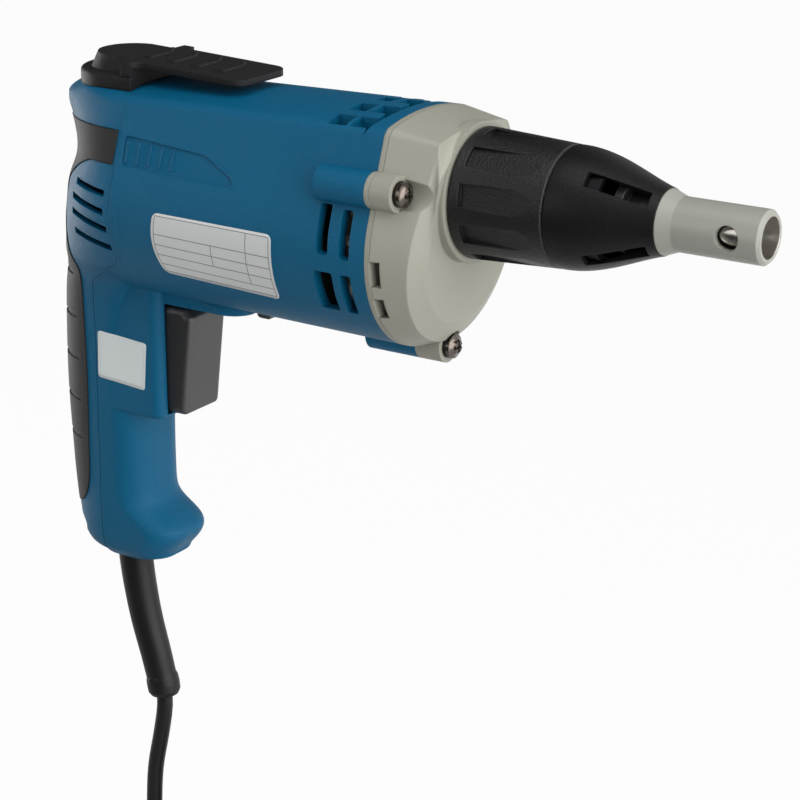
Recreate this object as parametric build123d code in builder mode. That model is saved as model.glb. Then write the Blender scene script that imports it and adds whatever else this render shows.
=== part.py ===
"""A corded drywall screwdriver with a depth locator, piece by piece.

The origin is the middle of the hand grip. +X points at the nose, +Y at the tool's left side and
+Z up. All sizes are in millimetres.
"""
import os
from math import atan2, cos, degrees, pi, radians, sin, sqrt, tan

from build123d import *

os.makedirs("parts", exist_ok=True)

# Fits
running_gap = 0.05
slide_gap = 0.3
seat_gap = 0.1
seam_gap = 0.25

# Gears and the two shaft lines
gear_module = 0.8
pinion_teeth = 8
gear_teeth = 40
tooth_backlash = 0.12
spindle_height = 94.0
centre_distance = gear_module * (pinion_teeth + gear_teeth) / 2
motor_height = spindle_height - centre_distance

# Barrel of the motor housing
flange_x = 129.5
seam_x = 20.5
barrel_rear_x = 12.0
belly_front = 37.0
belly_rear = 35.6
crown_front = 120.0
crown_rear = 117.6
crown_radius = 95.0
flat_lean = 20.0
shoulder_radius = 5.0
shell_wall = 2.8
handle_wall = 2.8
cover_step = 0.3
panel_depth = 0.5
panel_rounding = 1.5
panel_corners = [(22.9, 102.5), (58.9, 100.1), (71.5, 94.0), (72.9, 90.8), (23.7, 92.3)]
panel_ribs = 5
panel_rib_x = 24.8
panel_rib_pitch = 5.1
panel_rib_width = 1.0
panel_rib_length = 7.4
panel_rib_height = 97.0
vent_corner = 1.0
top_vent_columns = [(105.8, 113.4), (114.9, 121.4)]
top_vent_rows = [(3.1, 11.7), (16.2, 23.2)]
top_vent_ramp = 2.9
side_vents = [
    (112.35, 83.35, 4.7, 16.7),
    (121.3, 82.55, 4.2, 16.3),
    (112.25, 61.85, 7.5, 14.3),
    (121.3, 61.85, 4.4, 14.3),
]

# Seam between the housing and the rear cover
handle_seam_x = -4.6
foot_seam_x = -6.3
seam_rounding = 2.5
seam_points = [
    (seam_x, 140.0),
    (seam_x, 59.0),
    (18.0, 55.4),
    (6.8, 49.2),
    (-3.0, 43.0),
    (handle_seam_x, 35.0),
    (foot_seam_x, -40.0),
    (foot_seam_x, -90.0),
]

# Rear cover, its screws and the rubber grip over it
cover_boss = 12.0
cover_boss_radius = 5.6
cover_screw_radius = 1.9
cover_head_radius = 3.4
cover_head_height = 2.4
cover_screw_side = 11.0
cover_screw_height = 108.0
cover_screw_seat = 4.0
cover_web = 2.0
foot_boss_radius = 4.0
foot_screw_side = 8.5
foot_screw_height = -58.5
foot_screw_seat = -14.0
rear_vent_half = 1.2
rear_vents = [
    ((0.5, 83.6), (17.4, 82.0)),
    ((-1.7, 78.1), (17.0, 75.3)),
    ((-2.0, 72.5), (18.2, 69.0)),
    ((-1.5, 65.0), (18.6, 62.0)),
]
grip_thickness = 1.5
grip_proud = 0.35
grip_top = 103.7
grip_front_x = 19.2
grip_edge = [
    (7.5, 92.3),
    (-5.5, 85.4),
    (-13.8, 74.0),
    (-13.6, 60.0),
    (-10.2, 50.0),
    (-10.0, 36.0),
    (-10.4, 0.0),
    (-11.8, -28.0),
    (-13.6, -42.0),
    (-17.6, -48.0),
    (-23.0, -49.6),
]
grip_notches = [44.0, 27.0, 10.5, -6.0, -21.5]
grip_notch_x = -14.5
grip_notch_width = 2.2
grip_notch_depth = 0.3

# Gear housing, bearing plate and their screws
plate_thickness = 2.0
case_wall_length = 13.1
case_draft = 3.0
case_bevel_length = 3.4
case_lean = 6.5
case_wall = 7.0
case_front_wall = 2.0
case_belly = 27.0
case_flat_lean = 3.0
case_room_length = 8.5
case_crown = 115.5
case_crown_radius = 30.0
gear_room = 17.7
pinion_room = 5.6
case_notch_length = 3.5
case_notches = [(71.0, 9.0, 28.0), (58.6, 7.3, 23.0)]
collar_length = 3.7
collar_radius = 24.0
lug_radius = 6.2
lug_side = 31.0
lug_height = 98.2
lower_lug_height = 38.4
lug_length = 8.0
channel_radius = 5.4
boss_length = 22.5
boss_nose = 2.0
boss_wall = 2.5
screw_radius = 2.4
screw_head_radius = 4.3
screw_head_height = 3.0
screw_depth = 14.0
cross_width = 1.1
cross_length = 5.0
cross_depth = 1.3
washer_thickness = 1.2

# Depth locator
ring_length = 34.6
ring_rear_radius = 22.3
ring_front_radius = 20.6
ring_recesses = 10
ring_recess_width = 7.6
ring_recess_flare = 0.5
ring_recess_depth = 2.1
ring_recess_rise = 0.55
ring_recess_start = 4.0
ring_recess_length = 27.0
ring_phase = 25.0
snout_radius = 14.5
snout_length = 25.8
carrier_wall = 2.2
carrier_length = 36.6
sleeve_length = 34.8
sleeve_neck = 5.0
sleeve_outer = [(0.0, 20.5), (10.0, 19.5), (18.0, 17.2), (27.0, 13.8), (34.8, 11.1)]
nose_length = 35.3
nose_radius = 9.0
nose_shoulder = 10.9
nose_neck = 8.6
nose_bore = 6.2
nose_mouth = 6.8
nose_mouth_depth = 6.0
nose_flange_radius = 12.4
nose_flange_back = 15.0
nose_hole_radius = 4.1
nose_hole_back = 11.1
windows = 4
window_length = 20.4
window_width = 5.5
window_corner = 0.5
window_start = 11.4
window_phase = 44.0

# Spindle train
gear_width = 6.5
spindle_radius = 5.0
journal_radius = 6.0
tail_radius = 4.0
tail_bush_wall = 2.0
flange_radius = 13.0
flange_thickness = 2.0
head_radius = 8.0
head_length = 17.5
push_travel = 2.0
dog_height = 2.0
dog_inner = 9.0
dog_outer = 12.5
dog_half = 15.0
dogs = 3
dog_gap = 0.4
clutch_spring_radius = 6.6
clutch_wire = 1.0
bush_wall = 3.0
thrust_thickness = 1.9
hex_across = 6.35
holder_radius = 5.4
holder_back = 8.0
socket_depth = 12.0

# Motor
shaft_radius = 4.0
rear_journal_radius = 3.0
core_radius = 19.0
core_length = 40.0
core_x = 57.0
core_slots = 12
slot_floor = 12.0
slot_width = 3.4
winding_length = 7.0
winding_radius = 16.5
air_gap = 0.6
yoke_inner = 28.0
shoe_outer = 22.8
shoe_half = 58.0
pole_half_width = 11.0
coil_overhang = 5.0
stator_screw_radius = 1.6
stator_screw_side = 30.2
stator_boss = 7.5
stator_boss_radius = 2.6
commutator_radius = 11.5
commutator_length = 12.0
commutator_x = 37.0
commutator_slit = 0.6
brush_width = 7.5
brush_height = 6.4
brush_end = 25.5
brush_spring_wire = 0.7
holder_inner = 13.2
holder_outer = 32.2
fan_x = 112.0
fan_radius = 31.0
fan_inner_radius = 15.5
fan_width = 12.0
fan_blades = 19
fan_blade_thickness = 1.6
fan_blade_sweep = 12.0
baffle_x = 104.5
front_bearing_radius = 11.0
front_bearing_width = 7.0
rear_bearing_radius = 9.5
rear_bearing_width = 6.0
rear_bearing_x = 24.0
boot_wall = 2.0
seat_x = 22.5
seat_length = 8.0
seat_wall = 3.0
spoke_thickness = 2.5
spoke_upper = 38.0
spoke_lower = 34.0

# Handle controls
trigger_half_width = 11.2
trigger_travel = 6.0
trigger_gap = 0.4
trigger_bottom = -5.6
trigger_top = 36.2
trigger_back_x = 20.5
trigger_rounding = 1.5
trigger_edge = 3.0
trigger_profile = [
    (trigger_back_x, trigger_bottom),
    (31.6, trigger_bottom),
    (36.0, 32.6),
    (32.6, trigger_top),
    (trigger_back_x, trigger_top),
]
trigger_spring_radius = 4.6
trigger_spring_wire = 0.9
stem_radius = 3.0
stem_height = 20.0
stem_end_x = 6.0
switch_rear_x = -9.0
switch_front_x = 12.0
switch_half_width = 11.8
switch_bottom = -2.4
switch_top = 34.0
capacitor_rear_x = -12.0
capacitor_length = 17.0
capacitor_half = 8.0
capacitor_height = 15.0
frame_rear_x = -2.0
frame_front_x = 24.5
frame_half_width = 15.8
frame_bottom = -7.6
frame_top = 44.0
frame_wall = 2.6
frame_corner = 4.0
frame_rounding = 2.0
button_radius = 4.5
button_x = 2.0
button_height = 24.0
button_travel = 2.5
button_inner_y = switch_half_width + button_travel + 2 * slide_gap
button_outer_y = frame_half_width + button_travel
pad_bottom = 36.8
pad_front_x = 60.3
pad_half_width = 12.5
pad_floor = 1.6
pad_corner = 10.0
pad_rounding = 1.5
lever_pivot_x = 49.0
lever_tip_x = 62.75
lever_width = 5.5
lever_swing = 12.0
lever_eye = 4.0
lever_thickness = 2.0
lever_room = 6.0
lever_end_gap = 0.6
lever_pin_radius = 1.6
lever_tab_end = 35.0
lever_tab_rounding = 1.8

# Belt hook
hook_base_x = 4.0
hook_base_radius = 18.5
hook_tier = 121.0
hook_tier_rounding = 1.5
hook_cap_radius = 14.6
hook_cap_lean = 25.0
hook_front_x = 18.0
hook_tip_x = 63.6
hook_half_width = 14.6
hook_corner = 6.0
hook_wall_x = 13.6
hook_neck = 3.6
hook_thickness = 2.2
hook_root_top = 126.4
hook_tip_top = 123.7
hook_ridges = 4
hook_ridge_x = 15.0
hook_ridge_pitch = 10.7
hook_ridge_width = 1.0
hook_ridge_height = 0.5
hook_ridge_line = [(0.0, -6.0), (2.6, -6.0), (2.4, 5.5), (-0.8, 11.0)]
hook_boss_radius = 5.0
hook_boss_bottom = 104.0
hook_screw_radius = 1.9
hook_head_radius = 3.8
hook_head_height = 2.2
hook_screw_end = 122.0

# Mains lead
cord_diameter = 6.4
lead_points = [
    (-4.0, -44.0),
    (-4.0, -62.0),
    (-2.6, -79.0),
    (0.6, -97.0),
    (5.6, -114.0),
    (9.6, -130.0),
    (6.4, -147.0),
    (2.4, -163.0),
    (1.2, -182.0),
    (0.7, -202.0),
    (0.7, -222.0),
]
guard_x = -3.4
guard_radius = 6.65
guard_tip_radius = 5.9
guard_start = 19.5
guard_body = 58.5
guard_bead = [(0.0, 5.9), (1.5, 6.35), (4.0, 6.45), (6.5, 6.35), (8.0, 5.5)]
guard_flange = 2.0
guard_flange_lip = 1.8
guard_flange_bottom = -65.4
clamp_height = -50.2
clamp_width = 8.0
clamp_thickness = 3.0
clamp_half = 12.0
clamp_rib_depth = 6.5
clamp_rib_half = 13.0
clamp_screw_radius = 1.4
clamp_screw_side = 7.5
coil_pitch = 8.0
coil_outer_radius = 42.0
coil_turns_per_layer = 2
coil_layers = 4
coil_tail = 44.0
tie_wall = 1.5
tie_slack = 0.6
tie_width = 8.0
plug_length = 34.0
plug_width = 25.0
plug_depth = 15.0
pin_spacing = 12.7
pin_length = 17.0
pin_width = 6.4
pin_thickness = 1.5

# Stations worked out from the sizes above
far_front = 300.0
plate_x = flange_x
case_x = plate_x + plate_thickness
case_wall_x = case_x + case_wall_length
case_front_x = case_wall_x + case_bevel_length
collar_x = case_front_x + collar_length
cavity_x = case_front_x - case_front_wall
ring_x = collar_x + slide_gap
sleeve_x = ring_x + ring_length + slide_gap
nose_joint_x = sleeve_x + sleeve_length
nose_end_x = nose_joint_x + nose_length
nose_flange_x = nose_joint_x - nose_flange_back
snout_end_x = case_front_x + snout_length
lug_front_x = case_x + lug_length
head_x = lug_front_x + washer_thickness
screw_end_x = flange_x - screw_depth + 2
lug_points = [(lug_side, lug_height), (-lug_side, lug_height), (0, lower_lug_height)]
stator_radius = belly_rear - shell_wall - 2 * seat_gap
stator_bore = core_radius + air_gap
seat_radius = rear_bearing_radius + boot_wall + seat_gap
shaft_rear_x = seat_x
front_bearing_x = plate_x - front_bearing_width - 0.3
tail_bush_x = case_x - 4.5
gear_x = case_x + 1.2
pinion_x = case_x + 0.7
pinion_length = cavity_x - pinion_x - 0.5
spindle_shoulder_x = case_x + push_travel + slide_gap
flange_rear_x = gear_x + gear_width + 2 * dog_height + dog_gap
spindle_tail_x = tail_bush_x + push_travel + 2 * slide_gap
bush_x = case_front_x + 4.0
washer_x = snout_end_x + push_travel + 0.5
head_rear_x = washer_x + thrust_thickness + slide_gap
holder_x = head_rear_x + head_length - 4
holder_end_x = nose_end_x - holder_back
carrier_outer = snout_radius + slide_gap + carrier_wall
carrier_x = ring_x + 14.4
carrier_end_x = carrier_x + carrier_length
sleeve_inner = [
    (sleeve_length - sleeve_neck, nose_neck + seat_gap),
    (sleeve_length - sleeve_neck - 6.0, nose_neck + 3.6),
    (carrier_end_x + slide_gap - sleeve_x, carrier_outer + slide_gap),
]
lever_bottom = pad_bottom + pad_floor + 0.4
lever_reach = lever_tip_x + lever_width / 2 - lever_pivot_x
lever_slot = lever_width / 2 + lever_reach * sin(radians(lever_swing)) + 0.4
lever_heel = lever_tip_x - lever_width / 2 - lever_pivot_x
lever_slot_x = lever_pivot_x + lever_heel * cos(radians(lever_swing)) - lever_end_gap - slide_gap
clamp_x = lead_points[0][0] - cord_diameter / 2 - 2 * seat_gap
clamp_rib_x = lead_points[0][0] + cord_diameter / 2 + 2 * seat_gap

motor_axis = Axis((0, 0, motor_height), (1, 0, 0))
spindle_axis = Axis((0, 0, spindle_height), (1, 0, 0))


# Shared forms

def belly_radius(x):
    """Radius of the barrel's round belly at station x, with its moulding draft."""
    share = (x - barrel_rear_x) / (flange_x - barrel_rear_x)
    return belly_rear + (belly_front - belly_rear) * share


def crown_height(x):
    """Height of the barrel's arched top at station x."""
    share = (x - barrel_rear_x) / (flange_x - barrel_rear_x)
    return crown_rear + (crown_front - crown_rear) * share


def outline(x, belly, crown, arch, corner, flat=flat_lean):
    """Section across the barrel: round belly, leaning flats and an arched crown."""
    lean = radians(flat)
    flat_y = belly * cos(lean)
    flat_z = motor_height + belly * sin(lean)
    drop = flat_z - (crown - arch)
    half_run = flat_y * sin(lean) - drop * cos(lean)
    run = half_run + sqrt(half_run**2 + arch**2 - flat_y**2 - drop**2)
    corner_y = flat_y - run * sin(lean)
    corner_z = flat_z + run * cos(lean)
    with BuildSketch(Plane.YZ.offset(x)) as section:
        with BuildLine():
            ThreePointArc((-flat_y, flat_z), (0, motor_height - belly), (flat_y, flat_z))
            Line((flat_y, flat_z), (corner_y, corner_z))
            ThreePointArc((corner_y, corner_z), (0, crown), (-corner_y, corner_z))
            Line((-corner_y, corner_z), (-flat_y, flat_z))
        make_face()
        fillet(section.vertices().group_by(Axis.Y)[-1], corner)
    return section.sketch


def barrel_section(x, station, inset=0.0):
    """The barrel's outline as it is at one station, drawn at x and drawn in by inset."""
    return outline(
        x,
        belly_radius(station) - inset,
        crown_height(station) - inset,
        crown_radius - inset,
        max(shoulder_radius - inset * 0.8, 1.0),
    )


def cover_half_width(z):
    """Half width of the rear cover at height z, one step inside the barrel."""
    lean = radians(flat_lean)
    belly = belly_radius(seam_x) - cover_step
    rise = z - motor_height
    if rise > belly * sin(lean):
        return (belly - rise * sin(lean)) / cos(lean)
    return sqrt(belly**2 - rise**2)


# Sections of the handle, bottom to top: height, widest x, rear x, front x, half width, corner
handle_sections = [
    (-68.4, -3.0, -15.0, 13.0, 10.6, 8.0),
    (-65.3, -4.0, -20.8, 19.0, 13.6, 10.0),
    (-60.5, -5.0, -24.2, 23.0, 15.0, 11.5),
    (-55.0, -5.0, -25.6, 24.8, 15.4, 12.0),
    (-50.5, -5.0, -26.3, 19.8, 15.4, 12.0),
    (-45.0, -5.0, -27.0, 13.5, 15.4, 12.0),
    (-38.0, -5.0, -27.7, 12.2, 15.4, 12.0),
    (-24.0, -5.0, -28.5, 12.1, 15.5, 12.0),
    (-8.0, -5.0, -29.2, 12.2, 15.8, 12.0),
    (10.0, -5.0, -29.1, 12.6, 16.0, 12.0),
    (26.0, -5.0, -28.3, 13.2, 16.3, 12.0),
    (38.0, -3.5, -27.0, 15.0, 17.4, 12.0),
]
# Sections of the cover behind the barrel: height, widest x, rear x
dome_sections = [
    (46.0, 4.0, -25.3),
    (53.0, 14.0, -23.8),
    (60.0, seam_x, -22.3),
    (68.0, seam_x, -20.4),
    (76.0, seam_x, -18.6),
    (84.0, seam_x, -16.6),
    (90.0, seam_x, -14.2),
    (96.0, seam_x, -14.6),
    (101.0, seam_x, -16.8),
    (106.0, seam_x, -19.8),
    (112.0, seam_x, -20.8),
    (125.0, seam_x, -20.8),
]
dome_front = 12.0
dome_corner = 6.0
roof_half_width = 40.0
far_below = -90.0
far_above = 140.0
far_side = 60.0


def handle_section(z, middle, rear, front, half, corner, inset):
    """Level section of the handle: half an ellipse behind, rounded corners in front."""
    half = half - inset
    front = front - inset
    corner = corner - inset
    with BuildSketch(Plane.XY.offset(z)) as section:
        with BuildLine():
            EllipticalCenterArc((middle, 0), middle - rear - inset, half, 90, arc_size=180)
            Line((middle, -half), (front - corner, -half))
            CenterArc((front - corner, corner - half), corner, -90, 90)
            Line((front, corner - half), (front, half - corner))
            CenterArc((front - corner, half - corner), corner, 0, 90)
            Line((front - corner, half), (middle, half))
        make_face()
    return section.sketch


def grip_form(inset, rounding=0.0):
    """Outer form of the handle and the dome behind the barrel, drawn in by inset."""
    levels = [section for section in handle_sections]
    for z, middle, rear in dome_sections:
        levels.append((z, middle, rear, middle + dome_front, cover_half_width(z), dome_corner))
    sections = []
    for number, level in enumerate(levels):
        z = level[0] + inset if number == 0 else level[0]
        sections.append(handle_section(z, *level[1:], inset))
    crown = crown_height(seam_x) - cover_step - inset
    arch = crown_radius - inset
    eaves = crown - arch + sqrt(arch**2 - roof_half_width**2)
    with BuildPart() as form:
        loft(sections)
        with BuildSketch(Plane.YZ.offset(-far_side)):
            with BuildLine():
                ThreePointArc((-roof_half_width, eaves), (0, crown), (roof_half_width, eaves))
                Polyline(
                    (roof_half_width, eaves),
                    (roof_half_width, far_below),
                    (-roof_half_width, far_below),
                    (-roof_half_width, eaves),
                )
            make_face()
        extrude(amount=2 * far_side, mode=Mode.INTERSECT)
        if rounding > 0:
            fillet(form.faces().sort_by(Axis.Z)[-1].edges(), rounding)
    return form.part


def seam_region(shift, far_x):
    """Everything on one side of the seam between the housing and the rear cover."""
    with BuildPart() as region:
        with BuildSketch(Plane.XZ):
            with BuildLine():
                FilletPolyline(
                    *[(x + shift, z) for x, z in seam_points],
                    (far_x, far_below),
                    (far_x, far_above),
                    radius=seam_rounding,
                    close=True,
                )
            make_face()
        extrude(amount=far_side, both=True)
    return region.part


def barrel_form(inset):
    """Outer form of the barrel, drawn in by inset."""
    with BuildPart() as form:
        loft([
            barrel_section(barrel_rear_x, barrel_rear_x, inset),
            barrel_section(flange_x, flange_x, inset),
        ])
    return form.part


def rod(x_start, x_end, radius, y, z, mode=Mode.ADD):
    """Round bar along X."""
    with BuildSketch(Plane.YZ.offset(x_start)) as end:
        with Locations((y, z)):
            Circle(radius)
    extrude(end.sketch, amount=x_end - x_start, mode=mode)


def post(x, y, z_start, z_end, radius, mode=Mode.ADD):
    """Round bar along Z."""
    with BuildSketch(Plane.XY.offset(z_start)) as end:
        with Locations((x, y)):
            Circle(radius)
    extrude(end.sketch, amount=z_end - z_start, mode=mode)


def block(x, y, z, mode=Mode.ADD):
    """Square block between pairs of limits along the three axes."""
    with Locations(((x[0] + x[1]) / 2, (y[0] + y[1]) / 2, (z[0] + z[1]) / 2)):
        Box(x[1] - x[0], y[1] - y[0], z[1] - z[0], mode=mode)


def turn(points, axis, mode=Mode.ADD):
    """Turned piece about one of the shaft lines, from pairs of x and radius."""
    with BuildSketch(Plane.XZ) as profile:
        with BuildLine():
            Polyline(*[(x, axis.position.Z + radius) for x, radius in points], close=True)
        make_face()
    revolve(profile.sketch, axis=axis, mode=mode)


def ring_sector(x, inner, outer, z, middle, half):
    """Piece of a flat ring about the height z, angles counted from +Y towards +Z."""
    start = radians(middle - half)
    end = radians(middle + half)
    with BuildSketch(Plane.YZ.offset(x)) as sector:
        with BuildLine():
            CenterArc((0, z), outer, middle - half, 2 * half)
            Line(
                (outer * cos(end), z + outer * sin(end)),
                (inner * cos(end), z + inner * sin(end)),
            )
            CenterArc((0, z), inner, middle + half, -2 * half)
            Line(
                (inner * cos(start), z + inner * sin(start)),
                (outer * cos(start), z + outer * sin(start)),
            )
        make_face()
    return sector.sketch


def toothed_wheel(x, width, teeth, z, first):
    """Spur wheel along X with straight sided teeth, the first one at the angle first."""
    pitch_radius = gear_module * teeth / 2
    root = pitch_radius - 1.15 * gear_module
    tip = pitch_radius + gear_module * 0.9
    half = pi / 2 / teeth - tooth_backlash / 2 / pitch_radius
    foot = half * 1.4
    point = half * 0.5
    with BuildSketch(Plane.YZ.offset(x)) as wheel:
        with Locations((0, z)):
            Circle(root + seat_gap)
            with PolarLocations(0, teeth, start_angle=first):
                Polygon(
                    (root * cos(foot), root * sin(foot)),
                    (root * cos(foot), -root * sin(foot)),
                    (tip * cos(point), -tip * sin(point)),
                    (tip * cos(point), tip * sin(point)),
                    align=None,
                )
    extrude(wheel.sketch, amount=width)


def wind(points, tangents):
    """Line of arc pairs through the points, each met along its tangent."""
    for start, end, leave, arrive in zip(points, points[1:], tangents, tangents[1:]):
        chord = end - start
        both = leave + arrive
        bend = 1 - leave.dot(arrive)
        reach = chord.dot(both)
        if bend < 1e-9:
            step = chord.dot(chord) / (2 * reach)
        else:
            step = (sqrt(reach**2 + 2 * bend * chord.dot(chord)) - reach) / (2 * bend)
        knee = start + leave * step
        elbow = end - arrive * step
        middle = (knee + elbow) * 0.5
        for near, corner, far in ((start, knee, middle), (middle, elbow, end)):
            base = (near + far) * 0.5
            rise = corner - base
            half = (far - near).length / 2
            if rise.length < 1e-6:
                Line(near, far)
            else:
                turned = sqrt(half**2 + rise.length**2)
                height = half * rise.length / (half + turned)
                ThreePointArc(near, base + rise * (height / rise.length), far)


def helix(start, along, radius, length, turns):
    """Points and tangents of a spring's wire that winds round the line along."""
    across = Vector(0, 0, 1)
    aside = along.cross(across)
    points = []
    tangents = []
    steps = round(turns * 4)
    for step in range(steps + 1):
        angle = step * pi / 2
        points.append(
            start + along * (length * step / steps)
            + across * (radius * cos(angle)) + aside * (radius * sin(angle))
        )
        tangents.append((
            along * (length * 2 / steps / pi)
            - across * (radius * sin(angle)) + aside * (radius * cos(angle))
        ).normalized())
    return points, tangents


def spring(start, along, radius, length, turns, wire):
    """Round wire wound into a spring."""
    points, tangents = helix(start, along, radius, length, turns)
    with BuildPart() as coil:
        with BuildLine() as path:
            wind(points, tangents)
        with BuildSketch(Plane(origin=points[0], z_dir=tangents[0])):
            Circle(wire / 2)
        sweep()
    return coil.part


# Motor housing: barrel, front half of the handle, trigger frame and the pad under the barrel

def trigger_frame():
    """Raised frame round the trigger."""
    with BuildPart() as frame:
        with BuildSketch(Plane.XY.offset(frame_bottom)) as plan:
            with Locations(((frame_rear_x + frame_front_x) / 2, 0)):
                Rectangle(frame_front_x - frame_rear_x, 2 * frame_half_width)
            fillet(plan.vertices().group_by(Axis.X)[-1], frame_corner)
        extrude(amount=frame_top - frame_bottom)
        fillet(frame.faces().sort_by(Axis.Z)[0].edges(), frame_rounding)
    return frame.part


def lever_pad():
    """Pad under the barrel that holds the reversing lever."""
    with BuildPart() as pad:
        with BuildSketch(Plane.XY.offset(pad_bottom)) as plan:
            with Locations(((frame_rear_x + pad_front_x) / 2, 0)):
                Rectangle(pad_front_x - frame_rear_x, 2 * pad_half_width)
            fillet(plan.vertices().group_by(Axis.X)[-1], pad_corner)
        extrude(amount=motor_height - pad_bottom - belly_rear / 2)
        fillet(pad.faces().sort_by(Axis.Z)[0].edges(), pad_rounding)
    return pad.part


def side_panel(depth):
    """Shallow panel pressed into both flanks of the barrel, ribs left standing."""
    with BuildPart() as panel:
        with BuildSketch(Plane.XZ):
            with BuildLine():
                FilletPolyline(*panel_corners, radius=panel_rounding, close=True)
            make_face()
            for number in range(panel_ribs):
                with Locations((panel_rib_x + number * panel_rib_pitch, panel_rib_height)):
                    Rectangle(panel_rib_width, panel_rib_length, mode=Mode.SUBTRACT)
        extrude(amount=far_side, both=True)
        add(barrel_form(depth), mode=Mode.SUBTRACT)
    return panel.part


outer_form = grip_form(0.0, shoulder_radius)
inner_form = grip_form(handle_wall)

# Raised features inside the housing: bearing seat on four spokes, screw bosses and the clamp rib
with BuildPart() as housing_bosses:
    rod(seat_x, seat_x + seat_length, seat_radius + seat_wall, 0, motor_height)
    for spoke_angle in (45, 135, 225, 315):
        spoke_end = spoke_upper if spoke_angle < 180 else spoke_lower
        with Locations(Location((seat_x + seat_length / 2, 0, motor_height), (spoke_angle, 0, 0))):
            Box(
                seat_length - 2, spoke_end, spoke_thickness,
                align=(Align.CENTER, Align.MIN, Align.CENTER),
            )
    for side in (-1, 1):
        block(
            (core_x - stator_boss, core_x - seat_gap),
            sorted((side * (stator_screw_side - stator_boss_radius), side * (belly_rear - shell_wall + 1))),
            (motor_height - stator_boss_radius, motor_height + stator_boss_radius),
        )
        rod(seam_x, seam_x + cover_boss, cover_boss_radius, side * cover_screw_side, cover_screw_height)
        block(
            (seam_x, seam_x + cover_boss),
            sorted((side * (cover_screw_side - cover_web), side * (cover_screw_side + cover_web))),
            (cover_screw_height, crown_rear - 0.7 * shell_wall),
        )
        rod(foot_seam_x, foot_seam_x + cover_boss, foot_boss_radius,
            side * foot_screw_side, foot_screw_height)
    block(
        (clamp_rib_x, clamp_rib_x + clamp_rib_depth),
        (-clamp_rib_half, clamp_rib_half),
        (clamp_height - clamp_width / 2, clamp_height + clamp_width / 2),
    )

# Hollows of the housing: rooms for switch and lever, screw holes and the air outlets over the fan
with BuildPart() as housing_holes:
    block(
        (frame_rear_x, frame_front_x - frame_wall),
        (frame_wall - frame_half_width, frame_half_width - frame_wall),
        (frame_bottom + frame_wall, frame_top - 2),
    )
    block(
        (0, pad_front_x),
        (-trigger_half_width - trigger_gap, trigger_half_width + trigger_gap),
        (trigger_bottom - trigger_gap, pad_bottom),
    )
    block(
        (lever_pivot_x - lever_room, lever_pivot_x + lever_reach + lever_end_gap),
        (-lever_slot, lever_slot),
        (pad_bottom + pad_floor, motor_height - belly_rear + 2 * shell_wall),
    )
    block(
        (lever_slot_x, lever_pivot_x + lever_reach + lever_end_gap),
        (-lever_slot, lever_slot),
        (pad_bottom - 10, motor_height - belly_rear),
    )
    with BuildSketch(Plane.XZ):
        with Locations((button_x, button_height)):
            Circle(button_radius + slide_gap)
    extrude(amount=-far_side)
    rod(seat_x - 1, seat_x + seat_length + 1, seat_radius, 0, motor_height)
    for side in (-1, 1):
        rod(core_x - stator_boss - 1, core_x, stator_screw_radius + running_gap,
            side * stator_screw_side, motor_height)
        rod(seam_x - 1, seam_x + cover_boss - 1, cover_screw_radius + running_gap,
            side * cover_screw_side, cover_screw_height)
        rod(foot_seam_x - 1, foot_seam_x + cover_boss - 1, cover_screw_radius + running_gap,
            side * foot_screw_side, foot_screw_height)
        rod(clamp_rib_x - 1, clamp_rib_x + clamp_rib_depth - 1, clamp_screw_radius + running_gap,
            side * clamp_screw_side, clamp_height)
    for vent_inner, vent_outer in top_vent_rows:
        for side in (-1, 1):
            vent_sides = sorted((side * vent_inner, side * vent_outer))
            for vent_rear, vent_front in top_vent_columns:
                block((vent_rear, vent_front), vent_sides, (spindle_height + 10, far_above))
            with BuildSketch(Plane.XZ.offset(-vent_sides[0])) as ramp:
                with BuildLine():
                    Polyline(
                        (vent_front - 0.1, crown_front - 2 * shell_wall),
                        (vent_front - 0.1, far_above),
                        (vent_front + 2 * top_vent_ramp, far_above),
                        (vent_front + top_vent_ramp, crown_front),
                        (vent_front, crown_front - 2 * shell_wall),
                        close=True,
                    )
                make_face()
            extrude(ramp.sketch, amount=vent_sides[0] - vent_sides[1])
    with BuildSketch(Plane.XZ):
        for vent_x, vent_z, vent_length, vent_height in side_vents:
            with Locations((vent_x, vent_z)):
                RectangleRounded(vent_length, vent_height, vent_corner)
    extrude(amount=far_side, both=True)
    for lug_y, lug_z in lug_points:
        rod(flange_x - screw_depth, flange_x + 1, screw_radius + running_gap, lug_y, lug_z)
    post(guard_x, 0, far_below, foot_screw_height - foot_boss_radius - 2, guard_radius + slide_gap)

with BuildPart() as motor_housing:
    add(barrel_form(0.0))
    add([outer_form, trigger_frame(), lever_pad()])
    for lug_y, lug_z in lug_points:
        lug_axis = Axis((0, lug_y, lug_z), (1, 0, 0))
        with BuildSketch(Plane.XZ.offset(-lug_y)) as boss_profile:
            with BuildLine():
                Polyline(
                    (flange_x, lug_z),
                    (flange_x, lug_z + lug_radius),
                    (flange_x - boss_length + boss_nose, lug_z + lug_radius),
                    (flange_x - boss_length, lug_z + lug_radius - 1.5 * boss_nose),
                    (flange_x - boss_length, lug_z),
                    close=True,
                )
            make_face()
        revolve(axis=lug_axis)
    add(seam_region(0.0, far_front), mode=Mode.INTERSECT)
    extrude(
        barrel_section(barrel_rear_x, barrel_rear_x, shell_wall),
        amount=flange_x - barrel_rear_x + 1,
        mode=Mode.SUBTRACT,
    )
    add([inner_form, side_panel(panel_depth)], mode=Mode.SUBTRACT)
    add(housing_bosses.part)
    add(housing_holes.part, mode=Mode.SUBTRACT)
    post(lever_pivot_x, 0, pad_bottom + pad_floor / 2, pad_bottom + pad_floor + 5, lever_pin_radius)

# Rear cover: back of the barrel and of the handle

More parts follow.
